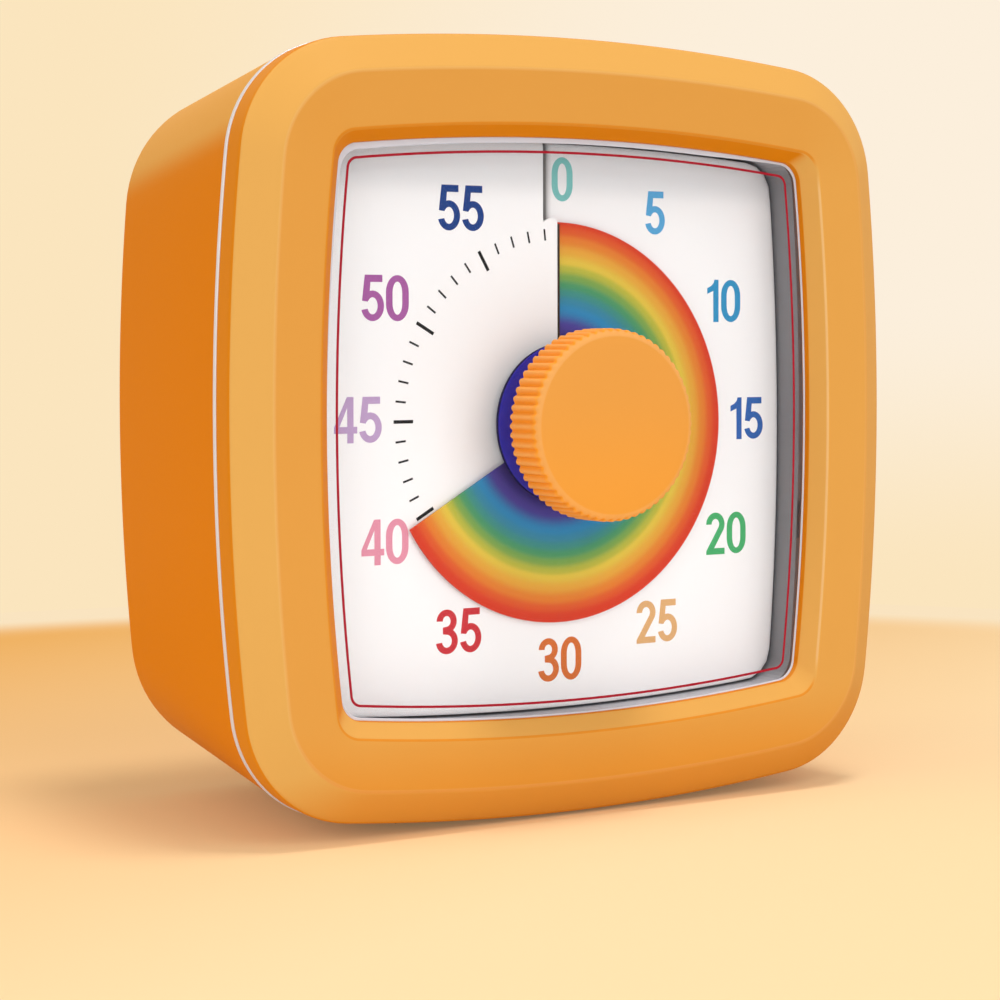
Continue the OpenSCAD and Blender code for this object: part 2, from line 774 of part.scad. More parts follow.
// A wheel, the pinion that drives it along its arbor, and the pivots at both ends
module wheel_and_pinion(wheel_module, wheel_y, wheel_phase, pinion_module, pinion_y, pinion_phase) {
    pinion_root = (pinion_teeth / 2 - tooth_fall) * pinion_module;
    slab(wheel_y[0], wheel_y[1]) gear_shape(wheel_teeth, wheel_module, wheel_phase);
    slab(pinion_y[0], pinion_y[1]) gear_shape(pinion_teeth, pinion_module, pinion_phase);
    rod(min(pivot_r + 0.35, pinion_root), cover_back + run_gap, base_floor - run_gap);
    rod(pivot_r, cover_front + run_gap, base_back - run_gap);
}

module centre_wheel() {
    color([0.83, 0.69, 0.36]) at_axis() slab(centre_front, centre_back) difference() {
        gear_shape(wheel_teeth, centre_module, second_dir);
        circle(r = bearing_r);
    }
}

module second_wheel() {
    color([0.93, 0.93, 0.9]) at_axis() translate([second_at[0], 0, second_at[1]]) wheel_and_pinion(
        second_module, [second_front, second_back], third_dir,
        centre_module, [centre_front - pinion_lap, centre_back + pinion_lap],
        second_dir + 180 + 180 / pinion_teeth
    );
}

module third_wheel() {
    color([0.93, 0.93, 0.9]) at_axis() translate([third_at[0], 0, third_at[1]]) wheel_and_pinion(
        third_module, [third_front, third_back], rotor_dir,
        second_module, [second_front - pinion_lap, second_back + pinion_lap],
        third_dir + 180 + 180 / pinion_teeth
    );
}

module rotor() {
    color([0.35, 0.35, 0.37]) at_axis() translate([rotor_at[0], 0, rotor_at[1]]) {
        rod(rotor_r, stator_front - 0.4, stator_back + 0.4);
        slab(third_front - pinion_lap, third_back + pinion_lap)
            gear_shape(pinion_teeth, third_module, rotor_dir + 180 + 180 / pinion_teeth);
        rod(pivot_r, cover_back + 3, base_floor - run_gap);
        rod(rotor_pivot_r, cover_front + run_gap, base_back - run_gap);
    }
}

module wheel_bearings(front, back) {
    rod(bearing_r, front, back);
    for (p = [second_at, third_at]) rod(pivot_r + bearing_play, front, back, p);
    rod(rotor_pivot_r + bearing_play, front, back, rotor_at);
}

module movement_box(inset = 0) {
    translate([-movement_w / 2 + inset, movement_low + inset])
        square([movement_w - 2 * inset, movement_h - 2 * inset]);
}

module movement_cover() {
    color([0.2, 0.2, 0.22]) at_axis() difference() {
        union() {
            slab(cover_front, cover_back) movement_box();
            rod(cover_boss_r, cover_boss_front, cover_front + tiny);
        }
        wheel_bearings(floor_front, cover_back + 1);
    }
}

module movement_base() {
    ear_w = 5.2;
    ear_at = ear_z - axis_rise;
    color([0.16, 0.16, 0.18]) at_axis() difference() {
        union() {
            slab(cover_back, base_back) movement_box();
            slab(ear_front, ear_front + ear_t) translate([0, ear_at])
                square([2 * ear_x, ear_w], center = true);
            for (s = [-1, 1]) {
                rod(ear_w / 2, ear_front, ear_front + ear_t, [s * ear_x, ear_at]);
                rod(board_post_r, base_back - tiny, board_front, [s * board_screw_x, board_z]);
            }
        }
        slab(cover_back - 1, base_floor) movement_box(movement_wall);
        for (s = [-1, 1]) {
            rod(screw_r + seat_gap, ear_front - 1, ear_front + ear_t + 1, [s * ear_x, ear_at]);
            rod(pilot_r, base_floor - 1, board_front + 1, [s * board_screw_x, board_z]);
        }
        wheel_bearings(base_floor - 1, base_back + 1);
    }
    color([0.16, 0.16, 0.18]) at_axis() {
        rod(1.4, stator_back, base_floor + tiny, [stator_end - 1.6, coil_z]);
        rod(1.1, stator_back, base_floor + tiny, [rotor_at[0] + 0.6, rotor_at[1] + 3.8]);
    }
}

module stator() {
    color([0.6, 0.6, 0.62]) at_axis() slab(stator_front, stator_back) difference() {
        union() {
            translate(rotor_at) circle(r = rotor_r + 2.4);
            translate([rotor_at[0], coil_z - core_w / 2]) square([stator_end - rotor_at[0], core_w]);
        }
        translate(rotor_at) circle(r = rotor_r + 0.35);
    }
}

module along_x(x, at) {
    translate([x[0], at[0], at[1]]) rotate([0, 90, 0]) linear_extrude(x[1] - x[0]) children();
}

module coil_bobbin() {
    core_slot = [core_w + 2 * seat_gap, stator_back - stator_front + 2 * seat_gap];
    color([0.9, 0.9, 0.86]) at_axis() {
        for (x = [coil_x[0], coil_x[1] - 0.8]) along_x([x, x + 0.8], [coil_y, coil_z]) difference() {
            circle(r = coil_flange_r);
            square(core_slot, center = true);
        }
        along_x(coil_x, [coil_y, coil_z]) difference() {
            circle(r = core_w / 2 + 0.55);
            square(core_slot, center = true);
        }
    }
}

module coil_winding() {
    color([0.75, 0.38, 0.17]) at_axis() along_x([coil_x[0] + 0.85, coil_x[1] - 0.85], [coil_y, coil_z])
        difference() {
            circle(r = coil_r);
            circle(r = core_w / 2 + 0.56);
        }
}

module circuit_board() {
    color([0.1, 0.4, 0.22]) at_axis() slab(board_front, board_back) difference() {
        translate([0, board_z]) square(board_size, center = true);
        for (s = [-1, 1]) translate([s * board_screw_x, board_z]) circle(r = screw_r + seat_gap);
    }
}

module control_chip() {
    color([0.06, 0.06, 0.07]) at_axis() slab(board_back, board_back + 1.4)
        translate([0, board_z]) square(6, center = true);
}

module quartz_crystal() {
    color([0.78, 0.79, 0.8]) at_axis()
        translate([-5, board_back + 1, board_z + board_size[1] / 2 - 3]) rotate([0, 90, 0]) cylinder(r = 1, h = 6);
}

// ---- Sound and power ---------------------------------------------------------------------

module buzzer() {
    color([0.15, 0.15, 0.16]) at_body() difference() {
        rod(buzzer_r, back_inside - buzzer_t, back_inside, buzzer_at);
        rod(1.2, back_inside - 0.8, back_inside + 1, buzzer_at);
    }
}

module volume_switch() {
    slot = [switch_travel + 1.6 + 2 * run_gap, 1.6 + 2 * run_gap];
    color([0.75, 0.76, 0.78]) at_body() translate([switch_at[0], 0, switch_at[1]]) difference() {
        block([-switch_size[0] / 2, switch_size[0] / 2], [back_inside - switch_depth, back_inside],
              [-switch_size[1] / 2, switch_size[1] / 2]);
        block([-slot[0] / 2, slot[0] / 2], [back_inside - 2, back_inside + 1], [-slot[1] / 2, slot[1] / 2]);
    }
}

module volume_slider() {
    left = switch_at[0] - switch_travel / 2;
    color([0.1, 0.1, 0.11]) at_body() translate([left, 0, switch_at[1]]) {
        block([-slider_size[0] / 2, slider_size[0] / 2], [back_inside + run_gap, back_face - 0.2],
              [-slider_size[1] / 2, slider_size[1] / 2]);
        block([-0.8, 0.8], [back_inside - 2 + run_gap, back_inside + 1], [-0.8, 0.8]);
    }
}

module battery_cell() {
    cell_right = cell_left + cell_len;
    color([0.2, 0.45, 0.3]) at_body() translate([0, cell_y, bay_z]) rotate([0, 90, 0]) {
        translate([0, 0, cell_left]) cylinder(r = cell_r, h = cell_len);
        translate([0, 0, cell_right]) cylinder(r = 2.75, h = button_len);
    }
}

module plus_contact() {
    left = bay_right - contact_t;
    color([0.82, 0.82, 0.8]) at_body() {
        block([left, bay_right], [cell_y - 4.5, cell_y + 4.5], [bay_z - 5, bay_z + 5]);
        block([left, bay_right], [cell_y - tab_w / 2, cell_y + tab_w / 2], [bay_z, tab_top]);
    }
}

// A round wire along its points: each ring stands square to the wire's direction
module wire(points, r) {
    sides = 8;
    last = len(points) - 1;
    rings = [for (i = [0 : last])
        let(
            d = points[min(i + 1, last)] - points[max(i - 1, 0)],
            along = d / norm(d),
            lean = abs(along[2]) > 0.9 ? [1, 0, 0] : [0, 0, 1],
            u = cross(along, lean) / norm(cross(along, lean)),
            v = cross(along, u)
        )
        [for (k = [0 : sides - 1]) points[i] + r * (cos(360 * k / sides) * u + sin(360 * k / sides) * v)]
    ];
    polyhedron(
        points = [for (p = rings) for (q = p) q],
        faces = concat(
            [for (i = [0 : last - 1]) for (k = [0 : sides - 1])
                let(a = sides * i + k, b = sides * i + (k + 1) % sides)
                for (f = [[a, b + sides, b], [a, a + sides, b + sides]]) f],
            [[for (k = [0 : sides - 1]) k]],
            [[for (k = [sides - 1 : -1 : 0]) sides * last + k]]
        ),
        convexity = 10
    );
}

// A conical spring: the wire's middle line climbs from the plate to the cell
spring_turns = 3;
spring_steps = 16;
spring_wire_r = 0.35;
spring_wide_r = 5;
spring_narrow_r = 3;

module spring_contact() {
    n = spring_turns * spring_steps;
    start = bay_left + contact_t + spring_wire_r - 0.05;
    end = cell_left - spring_wire_r;
    color([0.82, 0.82, 0.8]) at_body() {
        block([bay_left, bay_left + contact_t], [cell_y - 6, cell_y + 6], [bay_z - 6, bay_z + 6]);
        block([bay_left, bay_left + contact_t], [cell_y - tab_w / 2, cell_y + tab_w / 2], [bay_z, tab_top]);
        translate([0, cell_y, bay_z]) wire([
            for (i = [0 : n]) let(f = i / n, t = 360 * i / spring_steps,
                                  r = spring_wide_r + (spring_narrow_r - spring_wide_r) * f)
                [start + (end - start) * f, r * cos(t), r * sin(t)]
        ], spring_wire_r);
    }
}

module battery_door() {
    left = bay_left + run_gap;
    right = bay_right - run_gap;
    top = bay_top - run_gap;
    catch_w = 6;
    grip_pitch = 0.9;
    color([0.85, 0.47, 0.09]) at_body() difference() {
        union() {
            block([left, right], [back_face - door_t, back_face], [hinge_z, top]);
            along_x([left, right], [back_face - hinge_r, hinge_z]) circle(r = hinge_r);
            along_x([bay_left - hinge_pin_len, bay_right + hinge_pin_len], [back_face - hinge_r, hinge_z])
                circle(r = hinge_pin_r);
            for (x = [-14, 14]) block([x - catch_w / 2, x + catch_w / 2],
                [back_face - door_t - 1.4, back_face - door_t + tiny], [top - 1.2, top]);
        }
        for (i = [-3 : 3]) block([-5, 5], [back_face - 0.4, back_face + 1],
            [top - 5 + grip_pitch * i - 0.2, top - 5 + grip_pitch * i + 0.2]);
    }
}

// ---- Leads, screws and feet --------------------------------------------------------------

// A lead on one smooth curve through the pull of its four control points
module lead(p) {
    steps = 10;
    wire([for (i = [0 : steps]) let(t = i / steps, s = 1 - t)
        s * s * s * p[0] + 3 * s * s * t * p[1] + 3 * s * t * t * p[2] + t * t * t * p[3]], lead_r);
}

pad_y = board_back + lead_r;
pad_x = board_size[0] / 2 - 4;
pad_z = board_z + axis_rise - board_size[1] / 2 + 2;

// A lead from the tab of a contact up to its pad on the circuit board
module power_lead(side, tab_x) {
    tab = [tab_x, cell_y, tab_top - 0.6];
    slack = [side * (pad_x + 8), pad_y + 3, pad_z];
    lead([tab, tab + [-side * 5, -2, 1], slack, [side * pad_x, pad_y, pad_z]]);
}

module red_lead() {
    color([0.8, 0.08, 0.06]) at_body() power_lead(1, bay_right - contact_t - lead_r);
}

module black_lead() {
    color([0.05, 0.05, 0.05]) at_body() power_lead(-1, bay_left + contact_t + lead_r);
}

// Leads from the circuit board back to a part on the rear cover
module board_leads(x, end_x, end_y, pitch, places) {
    for (s = places) lead([
        [x, pad_y, board_z + pitch * s], [x + sign(end_x - x) * 2, end_y - 1, board_z + pitch * s],
        [end_x, pad_y + 1, board_z + pitch * s], [end_x, end_y, board_z + pitch * s]
    ]);
}

module buzzer_leads() {
    color([0.8, 0.75, 0.2]) at_body()
        board_leads(-8, -14, back_inside - buzzer_t - lead_r, 2, [-1, 1]);
}

module switch_leads() {
    color([0.85, 0.85, 0.85]) at_body()
        board_leads(9, 15, back_inside - switch_depth - lead_r, 1.4, [-1, 0, 1]);
}

// A round-head screw that points to the front, with a cross recess in its head
module screw(seat, length) {
    difference() {
        union() {
            rod(pilot_r, seat - length, seat + 0.1);
            rod(screw_head_r, seat, seat + screw_head_t);
        }
        for (a = [0, 90]) translate([0, seat + screw_head_t, 0]) rotate([0, a, 0])
            cube([2.2, 1.2, 0.5], center = true);
    }
}

module case_screws() {
    color([0.7, 0.71, 0.73]) at_body() for (p = back_screws) translate([p[0], 0, p[1]])
        screw(back_boss_end + well_floor, case_screw_len);
}

module frame_screws() {
    color([0.7, 0.71, 0.73]) at_body() at_corners(corner_screw, corner_screw)
        screw(floor_back, frame_screw_len);
}

module movement_screws() {
    color([0.7, 0.71, 0.73]) at_body() for (s = [-1, 1]) translate([s * ear_x, 0, ear_z])
        screw(ear_front + ear_t, 5);
}

module board_screws() {
    color([0.7, 0.71, 0.73]) at_axis() for (s = [-1, 1]) translate([s * board_screw_x, 0, board_z])
        screw(board_back, 2.8);
}

// Height of the shell's underside, seen from the middle of the case
function underside(x, y) = let(s = shell_at(y, 0)) s[1] - s[0] - sqrt(s[1] * s[1] - x * x);

module rubber_feet() {
    foot_front = shell_front + 2;
    ground = -half_w - foot_lift;
    low_gap = 0.02;
    color([0.12, 0.12, 0.12]) at_body() for (s = [-1, 1]) {
        xs = [for (i = [-1 : 1]) s * foot_x + i * foot_w / 2];
        ys = [foot_front, foot_front + foot_len];
        polyhedron(
            points = concat(
                [for (y = ys) for (x = xs) [x, y, ground]],
                [for (y = ys) for (x = xs) [x, y, underside(x, y) - low_gap]]
            ),
            faces = [
                [0, 1, 4], [0, 4, 3], [1, 2, 5], [1, 5, 4],
                [6, 9, 10], [6, 10, 7], [7, 10, 11], [7, 11, 8],
                [0, 6, 7], [0, 7, 1], [1, 7, 8], [1, 8, 2],
                [3, 4, 10], [3, 10, 9], [4, 5, 11], [4, 11, 10],
                [0, 3, 9], [0, 9, 6], [2, 8, 11], [2, 11, 5]
            ]
        );
    }
}

front_bezel();
trim_ring();
rear_shell();
back_cover();
lens();
inner_frame();
dial_seat();
dial_plate();
rainbow_disc();
disc_hub();
hub_washer();
knob();
spindle();
clutch_spring();
retaining_clip();
movement_cover();
movement_base();
centre_wheel();
second_wheel();
third_wheel();
rotor();
stator();
coil_bobbin();
coil_winding();
circuit_board();
control_chip();
quartz_crystal();
buzzer();
volume_switch();
volume_slider();
battery_cell();
plus_contact();
spring_contact();
battery_door();
red_lead();
black_lead();
buzzer_leads();
switch_leads();
case_screws();
frame_screws();
movement_screws();
board_screws();
rubber_feet();
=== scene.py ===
"""Visual model of a sixty-minute countdown timer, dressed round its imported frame."""

import logging
import math
from collections.abc import Sequence
from dataclasses import dataclass, field
from enum import Enum

import bmesh
import bpy
from mathutils import Matrix, Vector
from mathutils.geometry import tessellate_polygon


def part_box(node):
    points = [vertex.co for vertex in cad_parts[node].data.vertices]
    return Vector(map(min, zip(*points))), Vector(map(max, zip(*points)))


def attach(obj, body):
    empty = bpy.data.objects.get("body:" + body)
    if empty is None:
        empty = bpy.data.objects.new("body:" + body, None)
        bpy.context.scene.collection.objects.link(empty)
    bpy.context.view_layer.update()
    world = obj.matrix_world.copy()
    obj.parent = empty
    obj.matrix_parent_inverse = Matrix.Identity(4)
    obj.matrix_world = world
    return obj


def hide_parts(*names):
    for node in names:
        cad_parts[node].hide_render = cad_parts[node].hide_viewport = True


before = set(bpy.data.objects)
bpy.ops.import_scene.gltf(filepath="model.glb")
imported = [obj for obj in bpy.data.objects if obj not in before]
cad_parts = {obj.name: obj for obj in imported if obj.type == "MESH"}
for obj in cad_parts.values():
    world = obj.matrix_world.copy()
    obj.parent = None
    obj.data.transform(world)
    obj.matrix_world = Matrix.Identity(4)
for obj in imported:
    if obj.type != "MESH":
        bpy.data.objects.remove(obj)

LOG = logging.getLogger("timer")

MM = 0.001
FULL_TURN = 360.0

Point2 = tuple[float, float]
Point3 = tuple[float, float, float]
Colour = tuple[float, float, float, float]

ROUNDING_STEPS = 4
# Mesh attribute that carries marks of painted highlight and painted shade.
PAINTED_LIGHT_MARK = "painted_light_mark"
SPECULAR = "Specular IOR Level"
# Detail of the finer noises.
FINE = 3.0
WHITE: Colour = (1.0, 1.0, 1.0, 1.0)
BLACK: Colour = (0.0, 0.0, 0.0, 1.0)


class Body(Enum):
    """The moving bodies that pieces ride on."""

    CASE = "case"
    KNOB_DRIVE = "knob_drive"
    DISC = "disc"


class Slot(Enum):
    """Names of the record's material slots; each new piece is given one, but nothing here reads it."""

    BEZEL = "bezel_plastic"
    SHELL = "shell_plastic"
    TRIM = "silver_trim"
    DIAL = "white_dial"
    FILM = "rainbow_film"
    HUB = "indigo_plastic"
    KNOB = "knob_plastic"
    GREY = "grey_plastic"
    CLEAR = "clear_plastic"


def hex_colour(text: str) -> Colour:
    """Turn a written colour into the linear one that a shader socket takes.

    Args:
        text: Six hexadecimal digits, red, green and blue.

    Returns:
        Linear red, green, blue and full alpha.
    """
    parts = [int(text[i : i + 2], 16) / 255 for i in (0, 2, 4)]
    linear = [p / 12.92 if p <= 0.04045 else ((p + 0.055) / 1.055) ** 2.4 for p in parts]
    return (linear[0], linear[1], linear[2], 1.0)


# ---- Shader maths ---------------------------------------------------------------------------


class Socket:
    """One value of a shader, which takes Python's operators."""

    def __init__(self, shader: "Shader", link: bpy.types.NodeSocket) -> None:
        """Wrap an output socket of the shader's node tree."""
        self.shader = shader
        self.link = link

    def _maths(self, operation: str, first: "Socket | float", second: "Socket | float") -> "Socket":
        """Add one Math node and return its result."""
        node = self.shader.node("ShaderNodeMath", {"operation": operation}, {0: first, 1: second})
        return Socket(self.shader, node.outputs[0])

    def __add__(self, other: "Socket | float") -> "Socket":
        """Add."""
        return self._maths("ADD", self, other)

    __radd__ = __add__

    def __sub__(self, other: "Socket | float") -> "Socket":
        """Subtract."""
        return self._maths("SUBTRACT", self, other)

    def __rsub__(self, other: float) -> "Socket":
        """Subtract from a number."""
        return self._maths("SUBTRACT", other, self)

    def __mul__(self, other: "Socket | float") -> "Socket":
        """Multiply."""
        return self._maths("MULTIPLY", self, other)

    __rmul__ = __mul__

    def __truediv__(self, other: "Socket | float") -> "Socket":
        """Divide."""
        return self._maths("DIVIDE", self, other)

    def __pow__(self, other: "Socket | float") -> "Socket":
        """Raise to a power."""
        return self._maths("POWER", self, other)

    def __or__(self, other: "Socket | float") -> "Socket":
        """Take the larger of two values."""
        return self._maths("MAXIMUM", self, other)

    def wave(self) -> "Socket":
        """Return the sine of the value, in radians."""
        return self._maths("SINE", self, 0.0)


class Shader:
    """A node tree that is filled through one method for nodes and a few named steps."""

    def __init__(self, tree: bpy.types.NodeTree) -> None:
        """Empty the tree."""
        self.tree = tree
        tree.nodes.clear()

    def node(self, kind: str, settings: dict | None = None, sockets: dict | None = None) -> bpy.types.Node:
        """Add a node.

        Args:
            kind: The node's type.
            settings: Its own settings by name; a ramp's stops are (place, colour) pairs.
            sockets: Values or links of its input sockets, by name or number.

        Returns:
            The new node.
        """
        made = self.tree.nodes.new(kind)
        for name, value in (settings or {}).items():
            if name == "stops":
                self._set_stops(made.color_ramp, value)
            else:
                setattr(made, name, value)
        for name, value in (sockets or {}).items():
            if isinstance(value, Socket):
                self.tree.links.new(value.link, made.inputs[name])
            else:
                made.inputs[name].default_value = value
        return made

    @staticmethod
    def _set_stops(ramp: bpy.types.ColorRamp, stops: Sequence[tuple[float, Colour]]) -> None:
        """Give a colour ramp its stops, in order.

        Args:
            ramp: The ramp of a new node, with two stops.
            stops: Each stop's place and colour, from the lowest place up.
        """
        while len(ramp.elements) < len(stops):
            ramp.elements.new(1.0)
        for element, (place, colour) in zip(ramp.elements, stops):
            element.position = place
            element.color = colour

    def place(self) -> Socket:
        """Return the point on the surface, in the piece's own coordinates."""
        return Socket(self, self.node("ShaderNodeTexCoord").outputs["Object"])

    def split(self, vector: Socket) -> tuple[Socket, Socket, Socket]:
        """Return a vector's three parts."""
        node = self.node("ShaderNodeSeparateXYZ", None, {0: vector})
        return Socket(self, node.outputs[0]), Socket(self, node.outputs[1]), Socket(self, node.outputs[2])

    def facing(self) -> tuple[Socket, Socket, Socket]:
        """Return the three parts of the surface's own normal."""
        return self.split(Socket(self, self.node("ShaderNodeTexCoord").outputs["Normal"]))

    def painted(self, name: str) -> Socket:
        """Return a value that the mesh carries at each point, or 0."""
        return Socket(self, self.node("ShaderNodeAttribute", {"attribute_name": name}).outputs["Fac"])

    def stretched(self, vector: Socket, factors: Point3) -> Socket:
        """Return a vector with each part multiplied by its own factor."""
        node = self.node("ShaderNodeVectorMath", {"operation": "MULTIPLY"}, {0: vector, 1: factors})
        return Socket(self, node.outputs[0])

    def noise(self, vector: Socket, scale: float, detail: float = 2.0) -> Socket:
        """Return soft noise from 0 to 1 with about `scale` features to the metre."""
        node = self.node("ShaderNodeTexNoise", None, {"Vector": vector, "Scale": scale, "Detail": detail})
        return Socket(self, node.outputs["Fac"])

    def cells(self, vector: Socket, scale: float) -> Socket:
        """Return the distance to the nearest of scattered points."""
        node = self.node("ShaderNodeTexVoronoi", None, {"Vector": vector, "Scale": scale})
        return Socket(self, node.outputs["Distance"])

    def step(self, value: Socket, low: float, high: float) -> Socket:
        """Return 0 below `low`, 1 above `high` and a smooth rise between."""
        settings = {"interpolation_type": "SMOOTHSTEP"}
        return Socket(self, self.node("ShaderNodeMapRange", settings, {0: value, 1: low, 2: high}).outputs[0])

    def blend(self, factor: Socket | float, first: Socket | Colour, second: Socket | Colour) -> Socket:
        """Mix two colours."""
        node = self.node("ShaderNodeMix", {"data_type": "RGBA"}, {0: factor, 6: first, 7: second})
        return Socket(self, node.outputs[2])

    def ramp(self, value: Socket, stops: Sequence[tuple[float, Colour]]) -> Socket:
        """Return a colour from a ramp that eases between its stops.

        Args:
            value: Where to read the ramp, from 0 to 1.
            stops: Each stop's place and colour.

        Returns:
            The colour.
        """
        node = self.node("ShaderNodeValToRGB", {"stops": stops}, {0: value})
        node.color_ramp.interpolation = "EASE"
        return Socket(self, node.outputs[0])

    def relief(self, height: Socket, depth: float) -> Socket:
        """Return the normal of a surface whose height, 0 to 1, spans `depth` metres."""
        node = self.node("ShaderNodeBump", None, {"Strength": 1.0, "Distance": depth, "Height": height})
        return Socket(self, node.outputs[0])

    def surface(self, sockets: dict) -> None:
        """Finish the tree with a Principled surface.

        Args:
            sockets: Values or links of its inputs, by name.
        """
        principled = self.node("ShaderNodeBsdfPrincipled", None, sockets)
        output = self.node("ShaderNodeOutputMaterial")
        self.tree.links.new(principled.outputs[0], output.inputs[0])

    def textured(
        self, tone: Socket | Colour, texture: Socket, gloss: Point2, depth: float, more: dict
    ) -> None:
        """Finish the tree with a surface whose roughness and relief follow one texture.

        Args:
            tone: The base colour.
            texture: The texture, from 0 to 1.
            gloss: The roughness where the texture is 0, and what it adds where it is 1.
            depth: Metres of height that the texture spans; 0 leaves the normal alone.
            more: Values or links of further inputs, by name.
        """
        sockets = {"Base Color": tone, "Roughness": gloss[0] + texture * gloss[1]} | more
        if depth:
            sockets["Normal"] = self.relief(texture, depth)
        self.surface(sockets)


# ---- Finishes -------------------------------------------------------------------------------


class Finish:
    """A surface finish. Each kind says how its shader is built, and a material is made once."""

    title: str

    def fill(self, shader: Shader) -> None:
        """Build the finish.

        Args:
            shader: An empty node tree.
        """
        raise NotImplementedError

    def material(self) -> bpy.types.Material:
        """Make the finish's material on first use.

        Returns:
            The material.
        """
        found = bpy.data.materials.get(self.title)
        if found is None:
            found = bpy.data.materials.new(self.title)
            found.use_nodes = True
            self.fill(Shader(found.node_tree))
        return found


@dataclass(frozen=True)
class Lean:
    """How a moulding's pale tone depends on the way its surface faces, as painted light and shade."""

    base: float = -0.9
    forward: float = 2.1
    flat: float = 0.56
    right: float = -0.9
    up: float = 0.8


@dataclass(frozen=True)
class Moulding(Finish):
    """Moulded plastic in two close tones with a fine grain; the tones are painted light and shade by facing
    and height, with painted highlights and painted shade from the mesh's marks.
    """

    title: str
    pale: Colour
    deep: Colour
    lean: Lean = Lean()
    # Painted shade: how much deeper the tone grows towards the bottom.
    bottom_shade: float = 0.5
    fade_from: float = 0.002
    fade_to: float = 0.013
    roughness: float = 0.45
    specular: float = 0.04
    grain_depth: float = 0.000005
    grain_scale: float = 2600.0
    grain_gloss: float = 0.08
    mottle: float = 0.03
    mottle_scale: float = 22.0
    # Painted highlight and painted shade that the mesh's marks call for.
    wear_and_highlight: float = 0.3
    wear_and_highlight_colour: Colour = hex_colour("FBE0B4")
    painted_shade: float = 0.85
    turned_forward: Point2 = (0.25, 0.84)
    square_on: Point2 = (0.9, 1.0)

    def fill(self, shader: Shader) -> None:
        """Build the finish.

        Args:
            shader: An empty node tree.
        """
        place = shader.place()
        _, _, height = shader.split(place)
        across, forward, up = shader.facing()
        lean = self.lean
        # Painted light and shade: the lean makes the tone paler or deeper by the way the surface faces, and
        # it deepens towards the bottom.
        facing = 0 - forward
        tone = lean.base + shader.step(facing, *self.turned_forward) * lean.forward
        tone = tone + across * lean.right + up * lean.up - shader.step(facing, *self.square_on) * lean.flat
        kept = 1 - (1 - shader.step(height, self.fade_from, self.fade_to)) * self.bottom_shade
        base = shader.blend(shader.step(tone * kept, 0.0, 1.0), self.deep, self.pale)
        # Painted highlights where the mesh's marks are above 0, painted shade where they are below.
        mark = shader.painted(PAINTED_LIGHT_MARK)
        base = shader.blend(shader.step(mark, 0.0, 1.0) * self.wear_and_highlight, base, self.wear_and_highlight_colour)
        base = shader.blend(shader.step(0 - mark, 0.0, 1.0) * self.painted_shade, base, self.deep)
        tinted = shader.blend(shader.noise(place, self.mottle_scale, FINE) * self.mottle, base, self.deep)
        grain = shader.noise(place, self.grain_scale, FINE)
        gloss = (self.roughness - self.grain_gloss / 2, self.grain_gloss)
        shader.textured(tinted, grain, gloss, self.grain_depth, {SPECULAR: self.specular})


@dataclass(frozen=True)
class PrintedSheet(Finish):
    """White printed sheet with a faint fibre, a painted shadow that grows between two heights and stays
    above, and painted shade where its mesh is marked.
    """

    title: str
    colour: Colour
    top_shadow: Point2
    top_shadow_colour: Colour = hex_colour("A0A8B0")
    top_shadow_share: float = 0.24
    # Colour of the painted shade beside the dial's step.
    shade: Colour = hex_colour("4A4644")
    cloud: Colour = hex_colour("E8ECF0")
    cloud_share: float = 0.03
    cloud_scale: float = 60.0
    fibre_stretch: Point3 = (1.0, 1.0, 0.4)
    fibre_scale: float = 3200.0
    fibre_detail: float = 4.0
    fibre_depth: float = 0.000003
    gloss: Point2 = (0.6, 0.06)
    specular: float = 0.2

    def fill(self, shader: Shader) -> None:
        """Build the finish.

        Args:
            shader: An empty node tree.
        """
        place = shader.place()
        fibre = shader.noise(shader.stretched(place, self.fibre_stretch), self.fibre_scale, self.fibre_detail)
        tone = shader.blend(shader.noise(place, self.cloud_scale) * self.cloud_share, self.colour, self.cloud)
        _, _, height = shader.split(place)
        # Painted shadow of the bezel's top lip across the top of the sheet.
        tone = shader.blend(shader.step(height, *self.top_shadow) * self.top_shadow_share, tone, self.top_shadow_colour)
        # Painted shade beside the step at the slit, where the mesh is marked.
        tone = shader.blend(shader.painted(PAINTED_LIGHT_MARK), tone, self.shade)
        shader.textured(tone, fibre, self.gloss, self.fibre_depth, {SPECULAR: self.specular})


@dataclass(frozen=True)
class Ink(Finish):
    """Printed ink whose density varies a little."""

    title: str
    colour: Colour
    thin: float = 0.02
    speckle_scale: float = 2400.0
    gloss: Point2 = (0.55, 0.08)
    specular: float = 0.04

    def fill(self, shader: Shader) -> None:
        """Build the finish.

        Args:
            shader: An empty node tree.
        """
        speckle = shader.noise(shader.place(), self.speckle_scale, FINE)
        tone = shader.blend(speckle * self.thin, self.colour, WHITE)
        shader.textured(tone, speckle, self.gloss, 0.0, {SPECULAR: self.specular})


@dataclass(frozen=True)
class RainbowPrint(Finish):
    """Rings of colour round the spindle, from the hub out to the film's edge."""

    title: str
    centre: Point2
    radius: float
    stops: tuple[tuple[float, Colour], ...]
    speckle_scale: float = 1800.0
    speckle_share: float = 0.04
    speckle_depth: float = 0.000002
    gloss: Point2 = (0.45, 0.06)
    specular: float = 0.05

    def fill(self, shader: Shader) -> None:
        """Build the finish.

        Args:
            shader: An empty node tree.
        """
        place = shader.place()
        across, _, up = shader.split(place)
        right, high = across - self.centre[0], up - self.centre[1]
        reach = (right * right + high * high) ** 0.5
        rings = shader.ramp(reach / self.radius, self.stops)
        speckle = shader.noise(place, self.speckle_scale, FINE)
        tone = shader.blend(speckle * self.speckle_share, rings, BLACK)
        shader.textured(tone, speckle, self.gloss, self.speckle_depth, {SPECULAR: self.specular})


